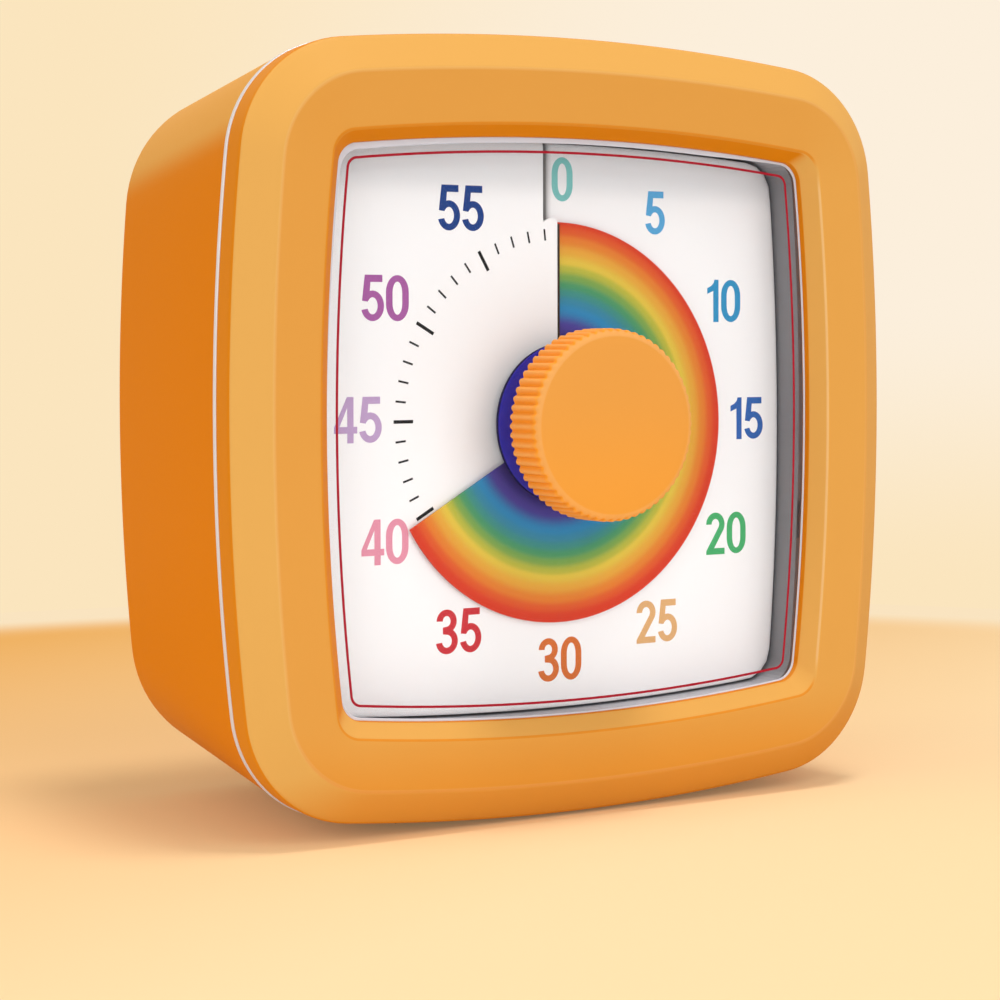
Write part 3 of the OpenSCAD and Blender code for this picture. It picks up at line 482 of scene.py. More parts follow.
@dataclass(frozen=True)
class ClearSheet(Finish):
    """Clear moulded window, with faint ripples in its gloss."""

    title: str
    tint: Colour
    cover: float = 0.008
    ripple_scale: float = 40.0
    gloss: Point2 = (0.04, 0.03)
    specular: float = 0.06

    def fill(self, shader: Shader) -> None:
        """Build the finish.

        Args:
            shader: An empty node tree.
        """
        ripple = shader.noise(shader.place(), self.ripple_scale)
        shader.textured(self.tint, ripple, self.gloss, 0.0, {"Alpha": self.cover, SPECULAR: self.specular})


@dataclass(frozen=True)
class WorkedMetal(Finish):
    """Metal with fine lines along one direction."""

    title: str
    colour: Colour
    roughness: float = 0.3
    lines: Point3 = (1.0, 0.08, 1.0)
    line_scale: float = 3500.0
    line_gloss: float = 0.12
    line_depth: float = 0.000004
    metallic: float = 1.0
    worn_scale: float = 300.0
    worn_share: float = 0.1
    wear_and_highlight_colour: Colour = hex_colour("5A5650")

    def fill(self, shader: Shader) -> None:
        """Build the finish.

        Args:
            shader: An empty node tree.
        """
        place = shader.place()
        lines = shader.noise(shader.stretched(place, self.lines), self.line_scale, FINE)
        wear_and_highlight = shader.noise(place, self.worn_scale)
        tone = shader.blend(wear_and_highlight * self.worn_share, self.colour, self.wear_and_highlight_colour)
        gloss = (self.roughness, self.line_gloss)
        shader.textured(tone, lines, gloss, self.line_depth, {"Metallic": self.metallic})


@dataclass(frozen=True)
class PlainPlastic(Finish):
    """Small moulded part with a matt grain."""

    title: str
    colour: Colour
    roughness: float = 0.5
    specular: float = 0.35
    grain_scale: float = 2200.0
    grain_gloss: float = 0.1
    grain_depth: float = 0.000006
    cloud_scale: float = 45.0
    cloud_share: float = 0.05

    def fill(self, shader: Shader) -> None:
        """Build the finish.

        Args:
            shader: An empty node tree.
        """
        place = shader.place()
        grain = shader.noise(place, self.grain_scale, FINE)
        tone = shader.blend(shader.noise(place, self.cloud_scale) * self.cloud_share, self.colour, WHITE)
        gloss = (self.roughness - self.grain_gloss / 2, self.grain_gloss)
        shader.textured(tone, grain, gloss, self.grain_depth, {SPECULAR: self.specular})


@dataclass(frozen=True)
class FrameGrey(Finish):
    """Grey moulded plastic with painted light: paler where it faces down or up than where it faces aside."""

    title: str
    grey: Colour
    pale: Colour
    pale_share: float = 0.7
    upright: Point2 = (0.2, 1.0)
    grain_scale: float = 2200.0
    grain_share: float = 0.05
    grain_depth: float = 0.000006
    gloss: Point2 = (0.45, 0.1)
    specular: float = 0.2

    def fill(self, shader: Shader) -> None:
        """Build the finish.

        Args:
            shader: An empty node tree.
        """
        grain = shader.noise(shader.place(), self.grain_scale, FINE)
        _, _, up = shader.facing()
        # Painted light by facing: up- and down-facing walls take the paler grey.
        share = shader.step(up * up, *self.upright) * self.pale_share
        tone = shader.blend(share + grain * self.grain_share, self.grey, self.pale)
        shader.textured(tone, grain, self.gloss, self.grain_depth, {SPECULAR: self.specular})


@dataclass(frozen=True)
class WoundWire(Finish):
    """Fine wire laid side by side round a spool that lies along X."""

    title: str
    colour: Colour
    between: Colour = hex_colour("5A2410")
    turns_per_metre: float = 9000.0
    metallic: float = 0.7
    roughness: float = 0.35
    wire_depth: float = 0.00003

    def fill(self, shader: Shader) -> None:
        """Build the finish.

        Args:
            shader: An empty node tree.
        """
        across, _, _ = shader.split(shader.place())
        laid = (across * self.turns_per_metre * math.tau).wave() * 0.5 + 0.5
        sockets = {"Metallic": self.metallic, "Roughness": self.roughness}
        sockets["Base Color"] = shader.blend(laid, self.between, self.colour)
        sockets["Normal"] = shader.relief(laid, self.wire_depth)
        shader.surface(sockets)


@dataclass(frozen=True)
class BoardMask(Finish):
    """Green solder mask with paler tracks under it."""

    title: str
    mask: Colour
    track: Colour
    lanes: Point2 = (2600.0, 2300.0)
    wander_scale: float = 90.0
    wander: float = 6.0
    track_edge: Point2 = (0.75, 0.95)
    track_depth: float = 0.00002
    gloss: Point2 = (0.3, 0.1)

    def fill(self, shader: Shader) -> None:
        """Build the finish.

        Args:
            shader: An empty node tree.
        """
        place = shader.place()
        across, _, up = shader.split(place)
        bend = shader.noise(place, self.wander_scale) * self.wander
        lanes = (across * self.lanes[0]).wave() + (up * self.lanes[1] + bend).wave()
        tracks = shader.step(lanes, *self.track_edge)
        shader.textured(shader.blend(tracks, self.mask, self.track), tracks, self.gloss, self.track_depth, {})


@dataclass(frozen=True)
class CellSleeve(Finish):
    """Printed sleeve of a battery cell, with a metal-coloured band at its positive end."""

    title: str
    sleeve: Colour
    band: Colour
    band_from: float
    band_fade: float = 0.0003
    band_metal: float = 0.8
    scuff_scale: float = 500.0
    gloss: Point2 = (0.25, 0.12)

    def fill(self, shader: Shader) -> None:
        """Build the finish.

        Args:
            shader: An empty node tree.
        """
        place = shader.place()
        across, _, _ = shader.split(place)
        banded = shader.step(across, self.band_from, self.band_from + self.band_fade)
        tone = shader.blend(banded, self.sleeve, self.band)
        scuffs = shader.noise(place, self.scuff_scale, FINE)
        shader.textured(tone, scuffs, self.gloss, 0.0, {"Metallic": banded * self.band_metal})


@dataclass(frozen=True)
class SoftRubber(Finish):
    """Dull rubber with a pebbled skin."""

    title: str
    colour: Colour
    dust_colour: Colour = hex_colour("5C5A57")
    dust_share: float = 0.2
    dust_scale: float = 200.0
    pebble_scale: float = 1500.0
    pebble_depth: float = 0.00003
    gloss: Point2 = (0.75, 0.15)
    specular: float = 0.25

    def fill(self, shader: Shader) -> None:
        """Build the finish.

        Args:
            shader: An empty node tree.
        """
        place = shader.place()
        dust = shader.noise(place, self.dust_scale, FINE)
        tone = shader.blend(dust * self.dust_share, self.colour, self.dust_colour)
        pebbled = shader.relief(shader.cells(place, self.pebble_scale), self.pebble_depth)
        shader.textured(tone, dust, self.gloss, 0.0, {SPECULAR: self.specular, "Normal": pebbled})


# ---- Shapes ---------------------------------------------------------------------------------


@dataclass(frozen=True)
class Outline:
    """A square with bowed sides and round corners, in millimetres round its own middle."""

    half: float
    bow: float
    corner: float

    SIDE_STEPS = 28
    CORNER_STEPS = 18

    def corner_centre(self) -> float:
        """Work out where the corner arcs have their centres.

        Returns:
            The distance of the centres from the middle, along each side.
        """
        reach = self.bow - self.corner
        shift = self.bow - self.half
        return (math.sqrt(2 * reach * reach - shift * shift) - shift) / 2

    def side_angle(self) -> float:
        """Return the angle, in radians, at which a side's arc meets its corner's arc."""
        centre = self.corner_centre()
        return math.atan2(centre, centre + self.bow - self.half)

    def points(self) -> list[Point2]:
        """Draw the outline, starting low on the right side.

        Returns:
            Its points in X and Z.
        """
        shift = self.bow - self.half
        centre = self.corner_centre()
        meet = self.side_angle()
        base = []
        for i in range(self.SIDE_STEPS):
            angle = meet * (2 * i / self.SIDE_STEPS - 1)
            base.append((self.bow * math.cos(angle) - shift, self.bow * math.sin(angle)))
        for i in range(self.CORNER_STEPS):
            angle = meet + (math.pi / 2 - 2 * meet) * i / self.CORNER_STEPS
            base.append((centre + self.corner * math.cos(angle), centre + self.corner * math.sin(angle)))
        points = list(base)
        for _ in range(3):
            base = [(-z, x) for x, z in base]
            points.extend(base)
        return points

    def reach(self, angle: float, rise: float) -> float:
        """Return the distance to the outline from a point above its middle.

        Args:
            angle: Direction in degrees, clockwise from straight up.
            rise: Height of the starting point above the outline's middle.

        Returns:
            The distance in millimetres.
        """
        way = Vector((math.sin(math.radians(angle)), math.cos(math.radians(angle))))
        middle = Vector((0.0, -rise))
        shift = self.bow - self.half
        sides = [Vector(s) * shift + middle for s in ((-1, 0), (1, 0), (0, -1), (0, 1))]
        side_hit = min(self._to_circle(centre, self.bow, way) for centre in sides)
        hit = way * side_hit - middle
        wide, narrow = max(abs(hit.x), abs(hit.y)), min(abs(hit.x), abs(hit.y))
        if math.atan2(narrow, wide + shift) < self.side_angle():
            return side_hit
        centre = self.corner_centre()
        corner = middle + Vector((math.copysign(centre, hit.x), math.copysign(centre, hit.y)))
        return self._to_circle(corner, self.corner, way)

    @staticmethod
    def _to_circle(centre: Vector, radius: float, way: Vector) -> float:
        """Return the distance along a way to the far side of a circle."""
        along = centre.dot(way)
        return along + math.sqrt(along * along - centre.length_squared + radius * radius)


@dataclass
class Shape:
    """A mesh in millimetres: points with X, depth and Z, faces, and each point's painted light mark if it has
    any.
    """

    points: list[Point3] = field(default_factory=list)
    faces: list[tuple[int, ...]] = field(default_factory=list)
    marks: list[float] = field(default_factory=list)

    def add(self, other: "Shape") -> None:
        """Join another shape to this one.

        Args:
            other: The shape whose points, faces and painted light marks are added.
        """
        start = len(self.points)
        if self.marks or other.marks:
            self.marks.extend([0.0] * (start - len(self.marks)))
            self.marks.extend(other.marks or [0.0] * len(other.points))
        self.points.extend(other.points)
        self.faces.extend(tuple(start + i for i in face) for face in other.faces)

    def moved(self, x: float, depth: float, z: float) -> "Shape":
        """Return the shape moved by the given distances."""
        points = [(p[0] + x, p[1] + depth, p[2] + z) for p in self.points]
        return Shape(points, list(self.faces), list(self.marks))

    @classmethod
    def tube(cls, rings: Sequence[Sequence[Point3]], closed: bool) -> "Shape":
        """Skin a row of rings.

        Args:
            rings: The rings, each with the same number of points.
            closed: Whether the last ring joins the first; an open row gets a cap at each end.

        Returns:
            The skinned shape.
        """
        count = len(rings[0])
        points = [p for ring in rings for p in ring]
        faces: list[tuple[int, ...]] = []
        for k in range(len(rings) if closed else len(rings) - 1):
            low, high = k * count, (k + 1) % len(rings) * count
            for i in range(count):
                j = (i + 1) % count
                faces.append((low + i, high + i, high + j, low + j))
        if not closed:
            faces.append(tuple(range(count)))
            faces.append(tuple(range(len(points) - 1, len(points) - 1 - count, -1)))
        return cls(points, faces)

    @classmethod
    def prism(cls, contours: Sequence[Sequence[Point2]], front: float, back: float) -> "Shape":
        """Fill flat contours and give them depth.

        Args:
            contours: The outline in X and Z, then its holes.
            front: Depth of the front face.
            back: Depth of the back face.

        Returns:
            The solid shape.
        """
        flat = [p for contour in contours for p in contour]
        count = len(flat)
        loops = [[Vector((x, z, 0.0)) for x, z in contour] for contour in contours]
        filled = [tuple(t) for t in tessellate_polygon(loops)]
        points = [(x, front, z) for x, z in flat] + [(x, back, z) for x, z in flat]
        faces = filled + [(c + count, b + count, a + count) for a, b, c in filled]
        start = 0
        for contour in contours:
            size = len(contour)
            for i in range(size):
                a, b = start + i, start + (i + 1) % size
                faces.append((a, b, b + count, a + count))
            start += size
        return cls(points, faces)


def softened(corners: Sequence[Point3]) -> list[Point2]:
    """Round the corners of a closed profile, and add a point beside each rounding to keep the flats flat.

    Args:
        corners: Each corner's two coordinates and how far back its rounding starts.

    Returns:
        The profile's points.
    """
    result: list[Point2] = []
    count = len(corners)
    for i, (a, b, cut) in enumerate(corners):
        here = Vector((a, b))
        if cut == 0:
            result.append((a, b))
            continue
        before = Vector(corners[i - 1][:2]) - here
        after = Vector(corners[(i + 1) % count][:2]) - here
        start = here + before.normalized() * min(cut, before.length * 0.45)
        end = here + after.normalized() * min(cut, after.length * 0.45)
        if before.length > 5 * cut:
            result.append(tuple(here + before.normalized() * 1.5 * cut))
        for k in range(ROUNDING_STEPS + 1):
            s = k / ROUNDING_STEPS
            point = start * (1 - s) ** 2 + here * 2 * s * (1 - s) + end * s * s
            result.append((point.x, point.y))
        if after.length > 5 * cut:
            result.append(tuple(here + after.normalized() * 1.5 * cut))
    return result


def read_table(table: Sequence[Point2], at: float) -> float:
    """Read a value between the rows of a short table.

    Args:
        table: Rows of a place and its value, from the lowest place up.
        at: The place to read.

    Returns:
        The value there; past either end, the end's value.
    """
    if at <= table[0][0]:
        return table[0][1]
    for (low, first), (high, second) in zip(table, table[1:]):
        if at <= high:
            return first + (second - first) * (at - low) / (high - low)
    return table[-1][1]


def lathe(profile: Sequence[Point2], steps: int) -> Shape:
    """Turn a closed profile round the Y axis.

    Args:
        profile: The radius and depth of each of its points.
        steps: Sides of the turned shape.

    Returns:
        The turned shape.
    """
    rings = []
    for radius, depth in profile:
        turn = [math.tau * i / steps for i in range(steps)]
        rings.append([(radius * math.sin(t), depth, radius * math.cos(t)) for t in turn])
    return Shape.tube(rings, closed=True)


# ---- Layout and pieces ----------------------------------------------------------------------


def box_mm(node: str) -> tuple[Vector, Vector]:
    """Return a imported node's lowest and highest corners, in millimetres."""
    low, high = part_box(node)
    return Vector(low) / MM, Vector(high) / MM


@dataclass(frozen=True)
class Layout:
    """Depths and heights that the sub-assemblies share, in millimetres, read from the frame.

    Depths count from the dial's mean plane and are negative towards the viewer.
    """

    dial_y: float
    case_z: float
    spindle_z: float
    half_width: float
    bezel_front: float
    bezel_back: float
    shell_front: float
    shell_back: float
    lens_front: float
    lens_back: float
    knob_front: float
    knob_radius: float
    disc_radius: float
    dial_half: float
    hub_radius: float
    hub_front: float

    @classmethod
    def from_frame(cls) -> "Layout":
        """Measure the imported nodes.

        Returns:
            The layout.
        """
        bezel, shell, lens = box_mm("front_bezel"), box_mm("rear_shell"), box_mm("lens")
        dial, knob, hub = box_mm("dial_plate"), box_mm("knob"), box_mm("disc_hub")
        disc, trim = box_mm("rainbow_disc"), box_mm("trim_ring")
        dial_y = (dial[0].y + dial[1].y) / 2
        return cls(
            dial_y=dial_y,
            case_z=(bezel[0].z + bezel[1].z) / 2,
            spindle_z=(knob[0].z + knob[1].z) / 2,
            half_width=bezel[1].x,
            bezel_front=bezel[0].y - dial_y,
            bezel_back=trim[0].y - dial_y,
            shell_front=trim[1].y - dial_y,
            shell_back=shell[1].y - dial_y,
            lens_front=lens[0].y - dial_y,
            lens_back=lens[1].y - dial_y,
            knob_front=knob[0].y - dial_y,
            knob_radius=knob[1].x,
            disc_radius=disc[1].x,
            dial_half=dial[1].x,
            hub_radius=hub[1].x,
            hub_front=hub[0].y - dial_y,
        )

    @property
    def rise(self) -> float:
        """Height of the spindle above the middle of the case."""
        return self.spindle_z - self.case_z

    def in_case(self, shape: Shape) -> Shape:
        """Place a shape that is drawn round the middle of the case."""
        return shape.moved(0.0, self.dial_y, self.case_z)

    def on_spindle(self, shape: Shape) -> Shape:
        """Place a shape that is drawn round the spindle."""
        return shape.moved(0.0, self.dial_y, self.spindle_z)


@dataclass(frozen=True)
class Piece:
    """What one visible piece is called, made of and carried by."""

    name: str
    finish: Finish
    slot: Slot
    body: Body = Body.CASE
    stands_for: tuple[str, ...] = ()
    crease: float = 35.0

    def make(self, shape: Shape) -> None:
        """Build the piece from its placed shape and hand it to its body.

        Args:
            shape: The piece's mesh in millimetres, in the shared frame.
        """
        mesh = bpy.data.meshes.new(self.name)
        mesh.from_pydata([(x * MM, y * MM, z * MM) for x, y, z in shape.points], [], shape.faces)
        if shape.marks:
            mesh.attributes.new(PAINTED_LIGHT_MARK, "FLOAT", "POINT").data.foreach_set("value", shape.marks)
        work = bmesh.new()
        work.from_mesh(mesh)
        bmesh.ops.remove_doubles(work, verts=work.verts, dist=1e-7)
        bmesh.ops.recalc_face_normals(work, faces=work.faces)
        work.to_mesh(mesh)
        work.free()
        mesh.polygons.foreach_set("use_smooth", [True] * len(mesh.polygons))
        mesh.set_sharp_from_angle(angle=math.radians(self.crease))
        mesh.materials.append(self.finish.material())
        made = bpy.data.objects.new(self.name, mesh)
        bpy.context.scene.collection.objects.link(made)
        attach(made, self.body.value)
        if self.stands_for:
            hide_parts(*self.stands_for)
        LOG.info("%s: %d faces, on %s", self.name, len(mesh.polygons), self.body.value)


# ---- Case -----------------------------------------------------------------------------------


def shell_moulding(title: str) -> Moulding:
    """Return the plastic that the rear shell, its cover and its door are moulded in, with painted light that
    makes it paler where it faces up.
    """
    # Painted light: up-facing surfaces take the paler tone.
    lean = Lean(base=-0.2, forward=0.0, flat=0.0, right=0.0, up=3.2)
    return Moulding(title, hex_colour("E4A24C"), hex_colour("E27D04"), lean, bottom_shade=0.0, specular=0.015)


@dataclass
class Case:
    """The bezel, the silver ring, the rear shell, the window's bead and the red line."""

    layout: Layout
    # Lit and shaded tones of the bezel, between which its finish paints light and shade.
    bezel_pale: Colour = hex_colour("E2A754")
    bezel_deep: Colour = hex_colour("DE810C")
    bow_by_half: tuple[Point2, ...] = ((31.0, 235.0), (35.5, 258.0), (39.0, 248.0))
    corner_by_half: tuple[Point2, ...] = (
        (29.0, 2.3), (29.75, 2.6), (30.37, 2.5), (35.06, 8.9), (35.56, 9.3), (38.5, 11.6), (39.0, 12.0),
    )
    ridge_inset: float = 3.44
    # Painted highlight along the ridge, painted highlight and shade on the bevel's rim, painted shade along
    # the window's lip.
    ridge_highlight: float = 0.3
    bevel_half: float = 30.37
    bevel_depth: float = 0.26
    bevel_drop: float = 0.2
    bevel_highlight: float = 1.5
    bevel_shade: float = 0.8
    window_half: float = 29.0
    lip_height: float = 0.7
    lip_shade: float = 0.7
    corner_fade: float = 4.0
    pocket_half: float = 29.75
    seat_half: float = 31.0
    slope_drop: float = 2.2
    skirt_wall: float = 2.0
    wall: float = 1.8
    trim_inset: float = 0.13
    trim_width: float = 1.7
    shell_taper: float = 3.0
    shell_bow: Point2 = (248.0, 16.0)
    shell_corner: Point2 = (12.0, 0.9)
    shell_edge: float = 2.2
    shell_steps: int = 8
    cover_inset: float = 2.35
    cover_ledge: float = 0.9
    bead_width: float = 0.14
    bead_more_above: float = 0.36
    bead_more_left: float = 0.14
    bead_end: float = 28.0
    bead_fade: float = 12.0
    line_half: float = 27.72
    line_width: float = 0.25
    line_bow: float = 235.0
    line_corner: float = 1.2
    line_lift: float = 0.02

    def _front_ring(self, half: float, depth: float) -> list[Point3]:
        """Return one ring of the bezel at a half width and depth."""
        outline = Outline(half, read_table(self.bow_by_half, half), read_table(self.corner_by_half, half))
        return [(x, depth, z) for x, z in outline.points()]

    def _shell_ring(self, depth: float, inset: float) -> list[Point3]:
        """Draw one ring of the rear shell, which tapers and bows more towards its back.

        Args:
            depth: Depth of the ring.
            inset: How far it lies inside the shell's outer face.

        Returns:
            The ring's points.
        """
        at = self.layout
        share = (depth - at.shell_front) / (at.shell_back - at.shell_front)
        half = at.half_width - self.trim_inset - self.shell_taper * share - inset
        (bow, more_bow), (corner, more_corner) = self.shell_bow, self.shell_corner
        outline = Outline(half, bow + more_bow * share - inset, corner + more_corner * share - inset)
        return [(x, depth, z) for x, z in outline.points()]

    def bezel(self) -> None:
        """Build the sloping bezel with its ridge, bevel and lens pocket."""
        at = self.layout
        half, front, back = at.half_width, at.bezel_front, at.bezel_back
        ridge = half - self.ridge_inset
        edge = front + self.slope_drop
        face = front + self.bevel_depth
        lip = at.lens_front - self.lip_height
        inner = front + self.wall
        profile = softened(
            [
                (half - self.trim_inset, back, 0.15),
                (half, edge + 0.25, 0.5),
                (half - 0.22, edge - 0.05, 0.5),
                (ridge, front, 0.24),
                (self.bevel_half, face, 0.2),
                (self.window_half, lip, 0.16),
                (self.window_half, at.lens_front, 0.0),
                (self.pocket_half, at.lens_front, 0.0),
                (self.pocket_half, at.lens_back, 0.0),
                (self.seat_half, at.lens_back, 0.1),
                (self.seat_half, inner, 0.1),
                (ridge - 0.4, inner, 0.2),
                (half - self.skirt_wall, edge + 0.9, 0.2),
                (half - self.skirt_wall, back, 0.0),
            ]
        )
        rings = []
        for a, depth in profile:
            sunk = self.bevel_drop if abs(a - self.bevel_half) < 0.35 and depth < face + 0.3 else 0.0
            rings.append([(x, y, z - sunk) for x, y, z in self._front_ring(a, depth)])
        shape = Shape.tube(rings, closed=True)
        # Painted light marks: a painted highlight along the ridge, a painted highlight on the right of the
        # bevel's rim and painted shade round the rest of it, and painted shade on the right of the window's
        # lip.
        for (a, depth), ring in zip(profile, rings):
            on_ridge = abs(a - ridge) < 0.27 and depth < front + 0.045
            on_rim = abs(a - self.bevel_half) < 0.13 and depth < face + 0.2
            on_lip = a < self.window_half + 0.15 and abs(depth - lip) < 0.12
            for x, _, z in ring:
                right = min(1.0, max(0.0, (x - abs(z)) / self.corner_fade))
                mark = -self.lip_shade * right if on_lip else 0.0
                if on_rim:
                    mark = self.bevel_highlight * right - self.bevel_shade
                shape.marks.append(self.ridge_highlight if on_ridge else mark)
        finish = Moulding("bezel plastic", self.bezel_pale, self.bezel_deep)
        Piece("bezel", finish, Slot.BEZEL, stands_for=("front_bezel",)).make(at.in_case(shape))

    def trim_ring(self) -> None:
        """Build the silver ring between the bezel and the rear shell."""
        at = self.layout
        outer = at.half_width - 0.06
        profile = softened(
            [
                (outer, at.bezel_back, 0.12),
                (outer, at.shell_front, 0.12),
                (outer - self.trim_width, at.shell_front, 0.0),
                (outer - self.trim_width, at.bezel_back, 0.0),
            ]
        )
        rings = [self._front_ring(a, depth) for a, depth in profile]
        finish = WorkedMetal("silver trim", hex_colour("DEDCE2"), 0.35, (0.2, 1.0, 0.2), metallic=0.35)
        piece = Piece("silver_ring", finish, Slot.TRIM, stands_for=("trim_ring",))
        piece.make(at.in_case(Shape.tube(rings, closed=True)))

    def rear_shell(self) -> None:
        """Build the tapering rear shell with its round back edge and the ledge for the cover."""
        at = self.layout
        inside = at.shell_back - self.wall
        rings = [
            self._shell_ring(at.shell_front, self.wall),
            self._shell_ring(inside - 2.4, self.wall),
            self._shell_ring(inside - 1.4, self.cover_inset + self.cover_ledge),
            self._shell_ring(inside, self.cover_inset + self.cover_ledge),
            self._shell_ring(inside, self.cover_inset),
            self._shell_ring(at.shell_back, self.cover_inset),
        ]
        for k in range(self.shell_steps, -1, -1):
            angle = math.pi / 2 * k / self.shell_steps
            depth = at.shell_back - self.shell_edge * (1 - math.sin(angle))
            rings.append(self._shell_ring(depth, self.shell_edge * (1 - math.cos(angle))))
        rings.append(self._shell_ring(at.shell_front + 0.1, 0.0))
        rings.append(self._shell_ring(at.shell_front, 0.1))
        piece = Piece("rear_case", shell_moulding("shell plastic"), Slot.SHELL, stands_for=("rear_shell",))
        piece.make(at.in_case(Shape.tube(rings, closed=True)))

    def window_bead(self) -> None:
        """Build the pale bead that lies in the corner between the lens and the bezel's lip."""
        at = self.layout
        outer, front, back = self.window_half - 0.01, at.lens_front - 0.14, at.lens_front + 0.01
        rings = []
        for inset, depth in ((0.0, front), (0.0, back), (1.0, back), (0.9, front + 0.05)):
            ring = []
            for x, _, z in self._front_ring(outer, depth):
                taper = min(1.0, max(0.0, (self.bead_end - x) / self.bead_fade))
                above = self.bead_more_above * max(0.0, z / outer) * taper
                width = inset * (self.bead_width + above + self.bead_more_left * max(0.0, -x / outer))
                ring.append((x * (1 - width / outer), depth, z * (1 - width / outer)))
            rings.append(ring)
        finish = PlainPlastic("bead plastic", hex_colour("D4D6DE"), 0.35)
        Piece("window_bead", finish, Slot.GREY).make(at.in_case(Shape.tube(rings, closed=True)))

    def border_line(self) -> None:
        """Build the thin red line printed on the lens."""
        at = self.layout
        outer, inner = self.line_half, self.line_half - self.line_width
        front, back = at.lens_front - self.line_lift, at.lens_front + self.line_lift
        rings = []
        for half, depth in ((outer, front), (outer, back), (inner, back), (inner, front)):
            outline = Outline(half, self.line_bow, self.line_corner - (outer - half))
            rings.append([(x, depth, z) for x, z in outline.points()])
        finish = Ink("red line ink", hex_colour("A81026"))
        Piece("border_line", finish, Slot.CLEAR).make(at.in_case(Shape.tube(rings, closed=True)))

    def build(self) -> None:
        """Build every piece of the case."""
        self.bezel()
        self.trim_ring()
        self.rear_shell()
        self.window_bead()
        self.border_line()


# ---- Numbers --------------------------------------------------------------------------------


def arc(centre: Point2, radii: Point2, start: float, end: float, steps: int = 14) -> list[Point2]:
    """Return points along an elliptical arc, in degrees anticlockwise from the right."""
    turns = [math.radians(start + (end - start) * i / steps) for i in range(steps + 1)]
    return [(centre[0] + radii[0] * math.cos(t), centre[1] + radii[1] * math.sin(t)) for t in turns]


class Digit(Enum):
    """The figures that the dial's numbers need, as closed contours one unit high."""

    ZERO = "0"
    ONE = "1"
    TWO = "2"
    THREE = "3"
    FOUR = "4"
    FIVE = "5"

    @property
    def width(self) -> float:
        """Width of the figure for its height."""
        return 0.36 if self is Digit.ONE else 0.5

    def contours(self) -> list[list[Point2]]:
        """Return the figure's outline, followed by its hole if it has one."""
        draw = (self._zero, self._one, self._two, self._three, self._four, self._five)
        return draw[int(self.value)]()

    @staticmethod
    def _zero() -> list[list[Point2]]:
        """Draw a tall ring.

        Returns:
            The contours.
        """
        outer = arc((0.25, 0.63), (0.25, 0.37), 0, 180) + arc((0.25, 0.37), (0.25, 0.37), 180, 360)
        inner = arc((0.25, 0.61), (0.108, 0.25), 0, 180) + arc((0.25, 0.39), (0.108, 0.25), 180, 360)
        return [outer, inner]

    @staticmethod
    def _one() -> list[list[Point2]]:
        """Draw a stem with a short flag."""
        flag = [(0.225, 1.0), (0.205, 0.92), (0.14, 0.85), (0.04, 0.80), (0.04, 0.665), (0.195, 0.735)]
        return [[(0.195, 0.0), (0.33, 0.0), (0.33, 1.0)] + flag]

    @staticmethod
    def _two() -> list[list[Point2]]:
        """Draw a bowl that runs down a slant into a foot.

        Returns:
            The contours.
        """
        outline = arc((0.24, 0.72), (0.24, 0.28), 180, -28, 22)
        outline += [(0.205, 0.15), (0.48, 0.15), (0.48, 0.0), (0.0, 0.0), (0.0, 0.085)]
        outline += arc((0.24, 0.72), (0.10, 0.13), -32, 180, 20)
        return [outline]

    @staticmethod
    def _three() -> list[list[Point2]]:
        """Draw two stacked bowls open to the left.

        Returns:
            The contours.
        """
        outline = arc((0.235, 0.735), (0.23, 0.265), 178, -50, 20)
        outline += arc((0.24, 0.29), (0.25, 0.29), 56, -172, 24)
        outline += arc((0.24, 0.29), (0.113, 0.145), 190, 445, 24)
        outline += [(0.15, 0.45), (0.15, 0.60)]
        outline += arc((0.235, 0.735), (0.09, 0.12), -85, 178, 20)
        return [outline]

    @staticmethod
    def _four() -> list[list[Point2]]:
        """Draw a stem, a bar and a slant round a hole.

        Returns:
            The contours.
        """
        outline = [(0.28, 1.0), (0.42, 1.0), (0.42, 0.355), (0.5, 0.355), (0.5, 0.21), (0.42, 0.21)]
        outline += [(0.42, 0.0), (0.285, 0.0), (0.285, 0.21), (0.0, 0.21), (0.0, 0.345)]
        return [outline, [(0.285, 0.355), (0.285, 0.77), (0.115, 0.355)]]

    @staticmethod
    def _five() -> list[list[Point2]]:
        """Draw a bar, a short stem and a bowl open to the left.

        Returns:
            The contours.
        """
        outline = [(0.46, 1.0), (0.08, 1.0), (0.02, 0.44), (0.14, 0.42)]
        outline += arc((0.245, 0.33), (0.113, 0.185), 140, -160, 26)
        outline += arc((0.245, 0.33), (0.25, 0.33), 196, 464, 30)
        outline += [(0.2, 0.845), (0.46, 0.845)]
        return [outline]


# ---- Dial -----------------------------------------------------------------------------------


